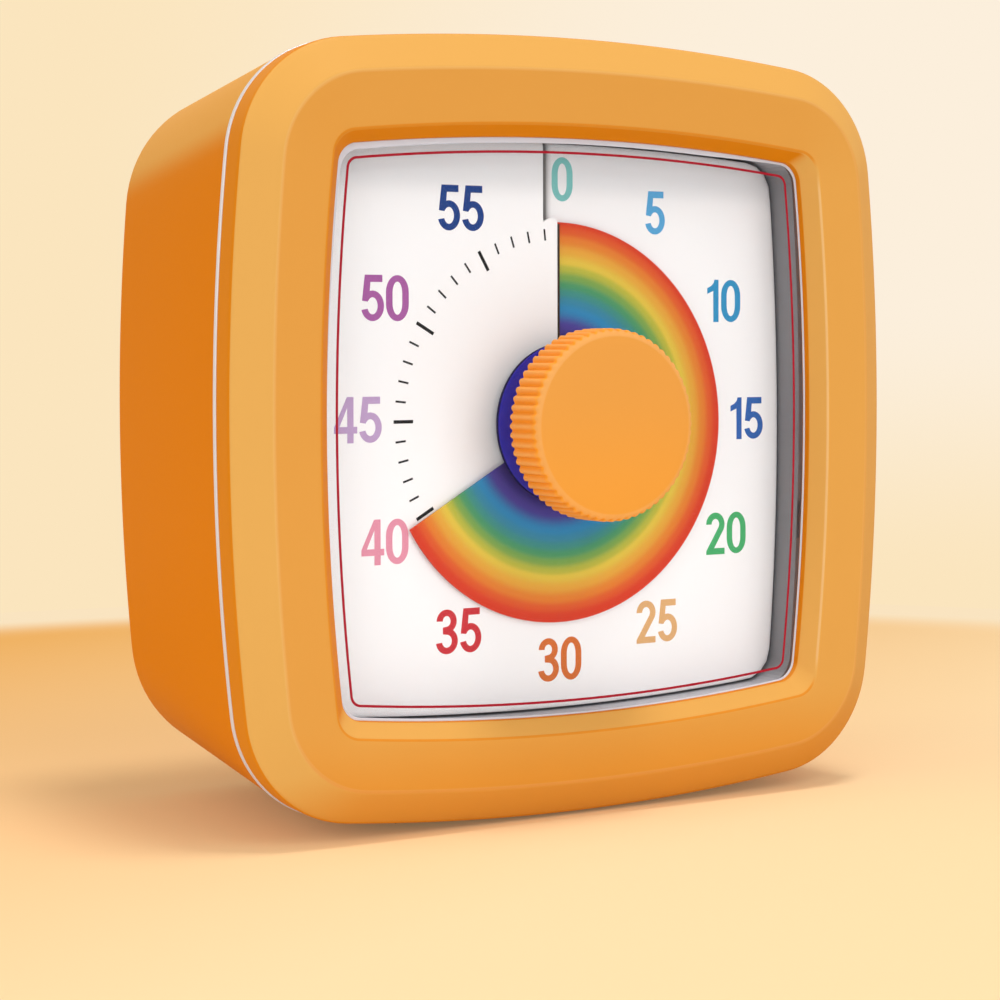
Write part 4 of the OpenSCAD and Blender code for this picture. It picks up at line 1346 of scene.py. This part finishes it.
@dataclass
class Dial:
    """The climbing white dial with its slit, its ticks and its numbers."""

    layout: Layout
    pitch: float = 1.2
    sheet: float = 0.4
    bow: float = 300.0
    corner: float = 3.4
    hole_radius: float = 4.8
    slit_clearance: float = 0.3
    outside: tuple[float, ...] = (-0.40, -0.25, -0.22, -0.20, -0.17, 0.10, 0.45)
    front_end: tuple[float, ...] = (-0.30, -0.32, -0.60, -1.40, -2.00, -2.00, -2.02)
    curl: tuple[Point2, ...] = (
        (-0.30, -0.50), (-0.31, -0.16), (-0.42, 0.08), (-0.62, 0.22), (-0.90, 0.27), (-1.25, 0.21),
        (-1.60, 0.05), (-1.90, -0.12), (-2.02, -0.17), (-2.02, -0.50),
    )
    riser: float = 0.5
    rim_out: float = 0.12
    rim_round: Point2 = (0.7, 0.26)
    rim_steps: int = 6
    # Sections at the start of the back sheet beside the step: X beyond the slit, X within it, and the painted
    # shade mark that each carries.
    back_end: tuple[Point3, ...] = (
        (-0.98, 0.03, 0.9), (-0.8, 0.06, 0.5), (-0.55, 0.09, 0.2), (-0.2, 0.12, 0.0),
    )
    back_shade: float = 0.9
    wall_gap: float = 0.05
    wall_span: Point2 = (0.6, 0.95)
    # Heights above the spindle between which the painted shadow of the bezel's top grows.
    top_shadow_heights: Point2 = (22.0, 25.2)
    slit_shadow_width: float = 0.54
    turn_step: float = 2.0
    tick_outer: float = 19.35
    short_tick: Point3 = (1.15, 0.2, 0.0)
    long_tick: Point3 = (2.2, 0.34, 0.12)
    tick_shift: Point2 = (0.15, 0.45)
    number_height: float = 4.5
    number_stretch: float = 1.13
    number_gap: float = 0.04
    number_centres: tuple[Point2, ...] = (
        (1.07, 24.88), (12.64, 21.76), (21.48, 12.63), (24.53, 0.05), (21.80, -12.27), (12.65, -21.22),
        (0.33, -24.38), (-11.83, -20.68), (-20.30, -11.33), (-23.27, 0.72), (-20.24, 12.58),
        (-11.62, 21.56),
    )
    number_inks: tuple[str, ...] = (
        "7CC4C0", "58A9DC", "2E93C6", "2C62B0", "46B06C", "E2B076",
        "D8702E", "CE3038", "E896AC", "C0A2CC", "A85CA2", "123C86",
    )
    ink_lift: float = 0.02

    def depth(self, angle: float) -> float:
        """Return the depth of the sheet's middle at an angle clockwise from 12 o'clock."""
        return self.pitch * (0.5 - angle / FULL_TURN)

    def _rim(self, angle: float) -> float:
        """Return the radius of the dial's edge at an angle."""
        outline = Outline(self.layout.dial_half + self.rim_out, self.bow, self.corner)
        return outline.reach(angle, self.layout.rise)

    def _station(self, angle: float, edge: Sequence[Point2] = ()) -> list[Point3]:
        """Return the dial's section at an angle.

        Args:
            angle: Degrees clockwise from 12 o'clock.
            edge: Where the section runs if not straight out from the spindle: X and height
                above the slit's top, for each of the radii in `outside`.

        Returns:
            The section's points, front face first and back face last.
        """
        slit = self.layout.disc_radius + self.slit_clearance
        rim = self._rim(angle)
        wide, drop = self.rim_round
        steps = [math.pi / 2 * k / self.rim_steps for k in range(self.rim_steps + 1)]
        turn = math.radians(angle)
        flat = []
        for radius in [self.hole_radius, slit - 1.0] + [slit + out for out in self.outside]:
            flat.append((radius * math.sin(turn), radius * math.cos(turn)))
        rims = [(rim - wide * (1 - math.sin(a)), drop * (1 - math.cos(a))) for a in steps]
        rims.append((rim, self.sheet))
        curve = [(radius * math.sin(turn), radius * math.cos(turn)) for radius, _ in rims]
        if edge:
            flat = [(edge[0][0], up) for _, up in flat[:2]] + [(x, slit + up) for x, up in edge]
            curve = [(edge[-1][0], up) for _, up in curve]
        base = self.depth(angle) - self.sheet / 2
        section = [(x, base, up) for x, up in flat]
        section += [(x, base + sunk, up) for (x, up), (_, sunk) in zip(curve, rims)]
        section += [(x, base + self.sheet, up) for x, up in reversed(flat)]
        return section

    def plate(self) -> None:
        """Build the climbing sheet, with the step beside the slit."""
        at = self.layout
        count = round(FULL_TURN / self.turn_step)
        behind = self.front_end[-1] - self.riser
        stations = []
        marks: list[float] = []
        # The first sections carry painted shade beside the step.
        for far, near, shade in ((behind, 0.0, self.back_shade), *self.back_end):
            edge = [(far if out > -0.19 else near, out) for out in self.outside]
            stations.append(self._station(0.0, edge))
            marks.extend([shade] * len(stations[-1]))
        stations += [self._station(i * self.turn_step) for i in range(1, count - 3)]
        stations.append(self._station(FULL_TURN, list(zip(self.front_end, self.outside))))
        shape = Shape.tube(stations, closed=False)
        shape.marks = marks + [0.0] * (len(shape.points) - len(marks))
        slit = at.disc_radius + self.slit_clearance
        left, right = behind + self.wall_gap, behind + self.riser - self.wall_gap
        bottom, top = slit + self.wall_span[0], self._rim(0.0) - self.wall_span[1]
        wall = [(left, bottom), (right, bottom), (right, top), (left, top)]
        shape.add(Shape.prism([wall], self.depth(FULL_TURN), self.depth(0.0)))
        front = self.depth(FULL_TURN) - self.sheet / 2
        curl = [(x, slit + up) for x, up in self.curl]
        shape.add(Shape.prism([curl], front - 0.01, front + self.sheet))
        # Painted shadow of the bezel's top lip, growing between these heights above the spindle.
        low, high = self.top_shadow_heights
        top_shadow = ((at.spindle_z + low) * MM, (at.spindle_z + high) * MM)
        finish = PrintedSheet("dial white", hex_colour("FFFFFF"), top_shadow)
        piece = Piece("dial_sheet", finish, Slot.DIAL, stands_for=("dial_plate",), crease=50.0)
        piece.make(at.on_spindle(shape))

    def _printed(self, shape: Shape) -> Shape:
        """Lay a flat shape on the climbing front of the dial.

        Args:
            shape: The shape, drawn round the spindle.

        Returns:
            The shape in its place.
        """
        laid = []
        for x, depth, z in shape.points:
            angle = math.degrees(math.atan2(x, z)) % FULL_TURN
            past_front_end = self.front_end[-1] < x < 0 and z > self.layout.disc_radius + self.slit_clearance
            place = self.depth(0.0 if past_front_end else angle)
            laid.append((x, depth + place - self.sheet / 2, z))
        return self.layout.on_spindle(Shape(laid, shape.faces))

    def slit_shadow(self) -> None:
        """Build the dark strip along the slit, beside the front sheet's end, which stands in for the shadow
        that the sheet's end casts on the film.
        """
        at = self.layout
        back = self.depth(FULL_TURN) + self.sheet / 2
        left, right = self.front_end[0] - 0.05, self.front_end[0] + self.slit_shadow_width
        low, high = at.hub_radius - 1.5, at.disc_radius
        strip = [(left, low), (right, low), (right, high), (left, high)]
        # Painted shadow: a dark ink strip where the front sheet's end shades the film.
        finish = Ink("slit shadow paint", hex_colour("3C2E22"))
        shape = Shape.prism([strip], back - 0.01, back + 0.03)
        Piece("slit_shadow", finish, Slot.DIAL).make(at.on_spindle(shape))

    def ticks(self) -> None:
        """Build the minute ticks and the bolder ones at every fifth minute."""
        short, long = Shape(), Shape()
        for minute in range(1, 60):
            fifth = minute % 5 == 0
            length, width, further = self.long_tick if fifth else self.short_tick
            outer = self.tick_outer + further
            inner, half = outer - length, width / 2
            turn = math.radians(minute * 6)
            out, side = Vector((math.sin(turn), math.cos(turn))), Vector((math.cos(turn), -math.sin(turn)))
            ends = ((inner, -half), (inner, half), (outer, half), (outer, -half))
            corners = [Vector(self.tick_shift) + out * radius + side * aside for radius, aside in ends]
            bar = Shape.prism([[(c.x, c.y) for c in corners]], -self.ink_lift, self.ink_lift)
            (long if fifth else short).add(bar)
        grey, black = Ink("minute ink", hex_colour("262628")), Ink("five minute ink", hex_colour("0C0C0E"))
        Piece("minute_ticks", grey, Slot.DIAL).make(self._printed(short))
        Piece("five_minute_ticks", black, Slot.DIAL).make(self._printed(long))

    def numbers(self) -> None:
        """Build the twelve numbers, each in its own ink."""
        for index, ink in enumerate(self.number_inks):
            figures = [Digit(c) for c in str(index * 5)]
            total = sum(d.width for d in figures) + self.number_gap * (len(figures) - 1)
            middle_x, middle_z = self.number_centres[index]
            high, stretch = self.number_height, self.number_stretch
            left = -total / 2
            shape = Shape()
            for figure in figures:
                contours = [
                    [
                        (middle_x + (left + x) * high * stretch, middle_z + (z - 0.5) * high)
                        for x, z in contour
                    ]
                    for contour in figure.contours()
                ]
                shape.add(Shape.prism(contours, -self.ink_lift, self.ink_lift))
                left += figure.width + self.number_gap
            title = f"number_{index * 5:02d}"
            finish = Ink(f"{title} ink", hex_colour(ink))
            Piece(title, finish, Slot.DIAL, crease=20.0).make(self._printed(shape))

    def build(self) -> None:
        """Build the dial and its print."""
        self.plate()
        self.slit_shadow()
        self.ticks()
        self.numbers()


# ---- Disc, hub and knob ---------------------------------------------------------------------


@dataclass
class Disc:
    """The rainbow film that winds through the dial's slit."""

    layout: Layout
    pitch: float = 1.2
    film: float = 0.2
    inner_radius: float = 4.5
    shown_angle: float = 240.0
    print_rise: float = 0.3
    overhang: float = 0.18
    turn_step: float = 2.0
    rings: tuple[tuple[float, str], ...] = (
        (0.40, "3E3078"), (0.475, "5448A4"), (0.56, "3390C6"), (0.60, "3C8FB0"), (0.64, "42958E"),
        (0.68, "4E9D6C"), (0.72, "7DA952"), (0.765, "BCBC44"), (0.795, "E4C748"),
        (0.85, "E7A83D"), (0.905, "E5822E"), (0.95, "E05C28"), (0.99, "D93E22"),
    )

    def film_sheet(self) -> None:
        """Build the one-turn film from its hidden end to its leading edge."""
        at = self.layout
        stations = []
        for i in range(round(FULL_TURN / self.turn_step) + 1):
            angle = self.shown_angle - FULL_TURN + i * self.turn_step
            turn, depth = math.radians(angle), -self.pitch * angle / FULL_TURN
            section = []
            inner, outer = self.inner_radius, at.disc_radius + self.overhang
            for radius, side in ((inner, -1), (outer, -1), (outer, 1), (inner, 1)):
                place = depth + side * self.film / 2
                section.append((radius * math.sin(turn), place, radius * math.cos(turn)))
            stations.append(section)
        stops = tuple((place, hex_colour(ink)) for place, ink in self.rings)
        centre = (0.0, (at.spindle_z + self.print_rise) * MM)
        finish = RainbowPrint("rainbow print", centre, at.disc_radius * MM, stops)
        piece = Piece("rainbow_film", finish, Slot.FILM, Body.DISC, ("rainbow_disc",), 50.0)
        piece.make(at.on_spindle(Shape.tube(stations, closed=False)))

    def build(self) -> None:
        """Build the film."""
        self.film_sheet()


@dataclass
class Hub:
    """The indigo hub whose flange shows in front of the disc."""

    layout: Layout
    bore: float = 1.51
    tube_radius: float = 4.2
    nose_radius: float = 3.6
    flange: float = 0.5
    # Lit tone of the flange's face and shaded tone of its side, painted by facing.
    face: Colour = hex_colour("3A36BE")
    edge: Colour = hex_colour("141046")
    steps: int = 128

    def build(self) -> None:
        """Build the hub as one turned piece."""
        at = self.layout
        back = box_mm("disc_hub")[1].y - at.dial_y
        profile = softened(
            [
                (self.bore, at.hub_front, 0.0),
                (at.hub_radius, at.hub_front, 0.14),
                (at.hub_radius, at.hub_front + self.flange, 0.06),
                (self.tube_radius, at.hub_front + self.flange, 0.0),
                (self.tube_radius, back - 0.5, 0.1),
                (self.nose_radius, back - 0.5, 0.0),
                (self.nose_radius, back, 0.1),
                (self.bore, back, 0.0),
            ]
        )
        # Painted shade: the side of the flange, facing aside, takes the dark tone.
        lean = Lean(base=0.0, forward=1.0, flat=0.0, right=0.0, up=0.0)
        finish = Moulding("hub indigo", self.face, self.edge, lean, bottom_shade=0.0)
        piece = Piece("hub", finish, Slot.HUB, Body.KNOB_DRIVE, ("disc_hub",))
        piece.make(at.on_spindle(lathe(profile, self.steps)))


@dataclass
class Knob:
    """The knob: a plain round face, a soft edge and fine ridges down its side."""

    layout: Layout
    # Lit tone of the face and shaded tone of the flank, painted by facing and height.
    face: Colour = hex_colour("E89C46")
    flank: Colour = hex_colour("FB9E2C")
    ridges: int = 64
    ridge_height: float = 0.32
    ridge_highlight: float = 0.5
    groove_power: float = 1.4
    edge: float = 0.9
    edge_highlight: float = 0.38
    edge_steps: int = 8
    columns_per_ridge: int = 10
    cap_depth: float = 4.75
    skirt: float = 1.3
    shank_radius: float = 5.8
    bore: float = 1.51
    ceiling: float = 2.0
    bore_depth: float = 1.6

    def _groove(self, angle: float) -> float:
        """Return how deep the grip is cut at an angle in radians, from 0 to 1."""
        return (0.5 - 0.5 * math.cos(angle * self.ridges)) ** self.groove_power

    def build(self) -> None:
        """Build the knob as turned rings whose side is cut by the grip's grooves."""
        at = self.layout
        front, outer = at.knob_front, at.knob_radius
        back = front + self.cap_depth
        root = outer - self.ridge_height
        rows: list[Point3] = [(0.0, front, 0.0), (outer * 0.5, front, 0.0)]
        for k in range(self.edge_steps + 1):
            a = math.pi / 2 * k / self.edge_steps
            cut = max(0.0, (k - 2) / 6)
            rows.append((outer - self.edge * (1 - math.sin(a)), front + self.edge * (1 - math.cos(a)), cut))
        rows += [(outer, back - 0.3, 1.0), (outer - 0.12, back - 0.06, 0.9), (root - 0.15, back, 0.0)]
        rows += [
            (root - self.skirt, back, 0.0),
            (root - self.skirt, front + self.ceiling, 0.0),
            (self.shank_radius, front + self.ceiling, 0.0),
            (self.shank_radius, at.hub_front, 0.0),
            (self.bore, at.hub_front, 0.0),
            (self.bore, front + self.bore_depth, 0.0),
            (0.0, front + self.bore_depth, 0.0),
        ]
        columns = self.ridges * self.columns_per_ridge
        rings = []
        marks = []
        for radius, depth, cut in rows:
            ring = []
            for i in range(columns):
                angle = math.tau * i / columns
                groove = self._groove(angle)
                r = radius - self.ridge_height * cut * groove
                ring.append((r * math.sin(angle), depth, r * math.cos(angle)))
                # Painted highlights: a pale ring on the rounded front edge and pale crests on the ridges.
                rounded = outer - self.edge * 0.9 < radius and front < depth < front + self.edge * 0.95
                ridge_glint = (1.0 - groove) * self.ridge_highlight * cut
                marks.append(self.edge_highlight if rounded and cut < 0.5 else ridge_glint)
            rings.append(ring)
        shape = Shape.tube(rings, closed=False)
        shape.marks = marks
        # Painted light and shade: paler where the knob faces forward, deeper on its flank and towards its
        # bottom.
        lean = Lean(base=0.0, forward=1.0, flat=0.0, right=0.0, up=0.2)
        finish = Moulding("knob plastic", self.face, self.flank, lean, fade_from=0.03, fade_to=0.05)
        piece = Piece("grip_knob", finish, Slot.KNOB, Body.KNOB_DRIVE, ("knob",), 40.0)
        piece.make(at.on_spindle(shape))


# ---- Dressed nodes --------------------------------------------------------------------------


@dataclass
class Works:
    """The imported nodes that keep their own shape, each with its finish."""

    cell_band: float = 12.0

    def finishes(self) -> tuple[tuple[Finish, str], ...]:
        """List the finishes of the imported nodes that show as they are.

        Returns:
            Each finish with the names of the nodes it dresses.
        """
        band_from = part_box("battery_cell")[1][0] - self.cell_band * MM
        return (
            (shell_moulding("cover plastic"), "back_cover battery_door"),
            (ClearSheet("clear window", hex_colour("F4FAFC")), "lens"),
            (FrameGrey("frame grey", hex_colour("85868A"), hex_colour("C4C5CC")), "inner_frame dial_seat"),
            (
                PlainPlastic("dark movement plastic", hex_colour("333338"), 0.5),
                "hub_washer movement_cover movement_base",
            ),
            (
                WorkedMetal("drawn steel", hex_colour("B9BBBF")),
                "spindle retaining_clip stator case_screws frame_screws movement_screws board_screws",
            ),
            (WorkedMetal("stamped brass", hex_colour("D2A95C"), 0.35), "clutch_spring centre_wheel"),
            (PlainPlastic("gear plastic", hex_colour("EDEDE4"), 0.4), "second_wheel third_wheel coil_bobbin"),
            (PlainPlastic("rotor magnet", hex_colour("4A4A4E"), 0.35), "rotor"),
            (WoundWire("copper winding", hex_colour("C8703C")), "coil_winding"),
            (BoardMask("board mask", hex_colour("1E6A38"), hex_colour("4FA35A")), "circuit_board"),
            (
                PlainPlastic("black plastic", hex_colour("161618"), 0.45),
                "control_chip buzzer volume_slider black_lead",
            ),
            (
                WorkedMetal("nickel strip", hex_colour("D3D0C8"), 0.25),
                "quartz_crystal volume_switch plus_contact spring_contact",
            ),
            (
                CellSleeve("cell sleeve", hex_colour("2F7A4A"), hex_colour("C9A24A"), band_from),
                "battery_cell",
            ),
            (PlainPlastic("red insulation", hex_colour("C8201C"), 0.45), "red_lead"),
            (PlainPlastic("yellow insulation", hex_colour("D6C23C"), 0.45), "buzzer_leads"),
            (PlainPlastic("white insulation", hex_colour("E2E2E0"), 0.45), "switch_leads"),
            (SoftRubber("foot rubber", hex_colour("222222")), "rubber_feet"),
        )

    def build(self) -> None:
        """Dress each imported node."""
        for finish, names in self.finishes():
            for name in names.split():
                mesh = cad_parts[name].data
                mesh.materials.clear()
                mesh.materials.append(finish.material())
                LOG.info("%s: dressed in %s", name, finish.title)


# ---- Studio ---------------------------------------------------------------------------------


@dataclass(frozen=True)
class Lamp:
    """A square soft light that looks at the middle of the timer."""

    title: str
    place: Point3
    size: float
    power: float

    def hang(self, target: Vector) -> None:
        """Add the light to the scene.

        Args:
            target: The point that the light faces, in metres.
        """
        light = bpy.data.lights.new(self.title, "AREA")
        light.size = self.size
        light.energy = self.power
        holder = bpy.data.objects.new(self.title, light)
        holder.location = self.place
        holder.rotation_euler = (target - Vector(self.place)).to_track_quat("-Z", "Y").to_euler()
        bpy.context.scene.collection.objects.link(holder)


@dataclass
class Studio:
    """The floor, the sky behind it, the lamps and the camera."""

    layout: Layout
    floor_deep: Colour = hex_colour("F6B868")
    floor_pale: Colour = hex_colour("FFDEAC")
    far_floor: Colour = hex_colour("FAE4C0")
    wall_deep: Colour = hex_colour("FBE5BE")
    wall_pale: Colour = hex_colour("FCEFDC")
    matt_grey: Colour = (0.88, 0.88, 0.88, 1.0)
    wall_right: Point2 = (0.36, 0.62)
    wall_high: Point2 = (-0.1, 0.02)
    pale_share: float = 0.83
    paler_aside: float = 4.9
    deeper_away: float = 3.2
    floor_radius: float = 0.2
    floor_sides: int = 96
    fade_from: float = 0.158
    fade_to: float = 0.186
    glow_share: float = 0.15
    ambient: float = 0.5
    azimuth: float = -31.632
    elevation: float = 3.588
    roll: float = -0.191
    distance: float = 246.70
    across: float = -5.756
    up: float = -7.451
    lens: float = 86.55
    clip: Point2 = (0.01, 20.0)
    lamps: tuple[Lamp, ...] = (
        Lamp("key light", (0.08, -0.45, 0.50), 0.40, 0.75),
        Lamp("front light", (0.15, -0.75, 0.12), 0.4, 0.85),
        Lamp("fill light", (-0.45, -0.50, 0.15), 0.5, 0.85),
        Lamp("left light", (-0.65, 0.05, 0.25), 0.5, 1.05),
        Lamp("top light", (0.06, -0.10, 0.69), 0.14, 1.65),
    )

    @staticmethod
    def _seen_directly(shader: Shader) -> Socket:
        """Tell the rays that come from the camera, a gloss or a clear sheet from the rest.

        Args:
            shader: The tree that asks.

        Returns:
            1 for those rays, else 0.
        """
        path = shader.node("ShaderNodeLightPath")
        camera = Socket(shader, path.outputs["Is Camera Ray"])
        gloss = Socket(shader, path.outputs["Is Glossy Ray"])
        clear = Socket(shader, path.outputs["Is Transmission Ray"])
        return camera | gloss | clear

    def floor(self) -> None:
        """Build the pale floor, which fades into the backdrop's colour away from the timer."""
        turns = [math.tau * i / self.floor_sides for i in range(self.floor_sides)]
        points = [(self.floor_radius * math.sin(t), self.floor_radius * math.cos(t), 0.0) for t in turns]
        mesh = bpy.data.meshes.new("studio_floor")
        mesh.from_pydata(points, [], [tuple(range(self.floor_sides - 1, -1, -1))])
        plane = bpy.data.objects.new("studio_floor", mesh)
        bpy.context.scene.collection.objects.link(plane)
        material = bpy.data.materials.new("studio floor")
        material.use_nodes = True
        shader = Shader(material.node_tree)
        across, along, _ = shader.split(shader.place())
        reach = (across * across + along * along) ** 0.5
        turn = math.radians(self.azimuth)
        aside = across * math.cos(turn) + along * math.sin(turn)
        away = along * math.cos(turn) - across * math.sin(turn)
        share = self.pale_share + aside * self.paler_aside - away * self.deeper_away
        near = shader.blend(share, self.floor_deep, self.floor_pale)
        faded = shader.step(reach, self.fade_from, self.fade_to)
        tone = shader.blend(faded, near, self.far_floor)
        matt = self._shaded(shader, {"Base Color": near})
        glow = self._shaded(shader, {"Base Color": BLACK, "Emission Color": tone, "Emission Strength": 1.0})
        neutral = self._shaded(shader, {"Base Color": self.matt_grey})
        seen = self._mixed(shader, faded * (1 - self.glow_share) + self.glow_share, matt, glow)
        mix = self._mixed(shader, self._seen_directly(shader), neutral, seen)
        shader.node("ShaderNodeOutputMaterial", None, {0: mix})
        mesh.materials.append(material)
        LOG.info("studio_floor: stage")

    @staticmethod
    def _shaded(shader: Shader, sockets: dict) -> Socket:
        """Return a matt Principled surface."""
        matt = {"Roughness": 1.0, "Specular IOR Level": 0.0}
        return Socket(shader, shader.node("ShaderNodeBsdfPrincipled", None, matt | sockets).outputs[0])

    @staticmethod
    def _mixed(shader: Shader, share: Socket, first: Socket, second: Socket) -> Socket:
        """Mix two surfaces."""
        node = shader.node("ShaderNodeMixShader", None, {0: share, 1: first, 2: second})
        return Socket(shader, node.outputs[0])

    def sky(self) -> None:
        """Light the scene evenly and show the backdrop's colour behind it."""
        world = bpy.data.worlds.new("studio")
        world.use_nodes = True
        bpy.context.scene.world = world
        shader = Shader(world.node_tree)
        light = shader.node("ShaderNodeBackground", None, {"Color": WHITE, "Strength": self.ambient})
        towards = Socket(shader, shader.node("ShaderNodeTexCoord").outputs["Generated"])
        right, _, high = shader.split(towards)
        share = shader.step(right, *self.wall_right) * shader.step(high, *self.wall_high)
        tone = shader.blend(share, self.wall_deep, self.wall_pale)
        shown = shader.node("ShaderNodeBackground", None, {"Color": tone, "Strength": 1.0})
        first, second = Socket(shader, light.outputs[0]), Socket(shader, shown.outputs[0])
        mix = self._mixed(shader, self._seen_directly(shader), first, second)
        shader.node("ShaderNodeOutputWorld", None, {0: mix})

    def camera(self) -> None:
        """Set the camera that looks at the timer's front from its left."""
        at = self.layout
        azimuth, elevation = math.radians(self.azimuth), math.radians(self.elevation)
        roll = math.radians(self.roll)
        back = Vector(
            (
                math.sin(azimuth) * math.cos(elevation),
                -math.cos(azimuth) * math.cos(elevation),
                math.sin(elevation),
            )
        )
        right = Vector((math.cos(azimuth), math.sin(azimuth), 0.0))
        up = back.cross(right)
        middle = Vector((0.0, at.dial_y, at.case_z))
        place = middle + back * self.distance + right * self.across + up * self.up
        rolled_right = right * math.cos(roll) + up * math.sin(roll)
        rolled_up = up * math.cos(roll) - right * math.sin(roll)
        turn = Matrix((rolled_right, rolled_up, back)).transposed()
        view = bpy.data.cameras.new("camera")
        view.lens = self.lens
        view.clip_start, view.clip_end = self.clip
        holder = bpy.data.objects.new("camera", view)
        holder.location = place * MM
        holder.rotation_euler = turn.to_euler()
        bpy.context.scene.collection.objects.link(holder)
        bpy.context.scene.camera = holder

    def build(self) -> None:
        """Set up the whole studio."""
        self.camera()
        self.floor()
        self.sky()
        middle = Vector((0.0, 0.0, self.layout.case_z)) * MM
        for lamp in self.lamps:
            lamp.hang(middle)
        bpy.context.scene.view_settings.view_transform = "Standard"


def main() -> None:
    """Build the timer and its studio; each new piece logs its face count."""
    logging.basicConfig(level=logging.INFO, format="%(message)s")
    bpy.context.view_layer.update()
    layout = Layout.from_frame()
    Studio(layout).build()
    for assembly in (Case(layout), Dial(layout), Disc(layout), Hub(layout), Knob(layout), Works()):
        assembly.build()


if __name__ == "__main__":
    main()
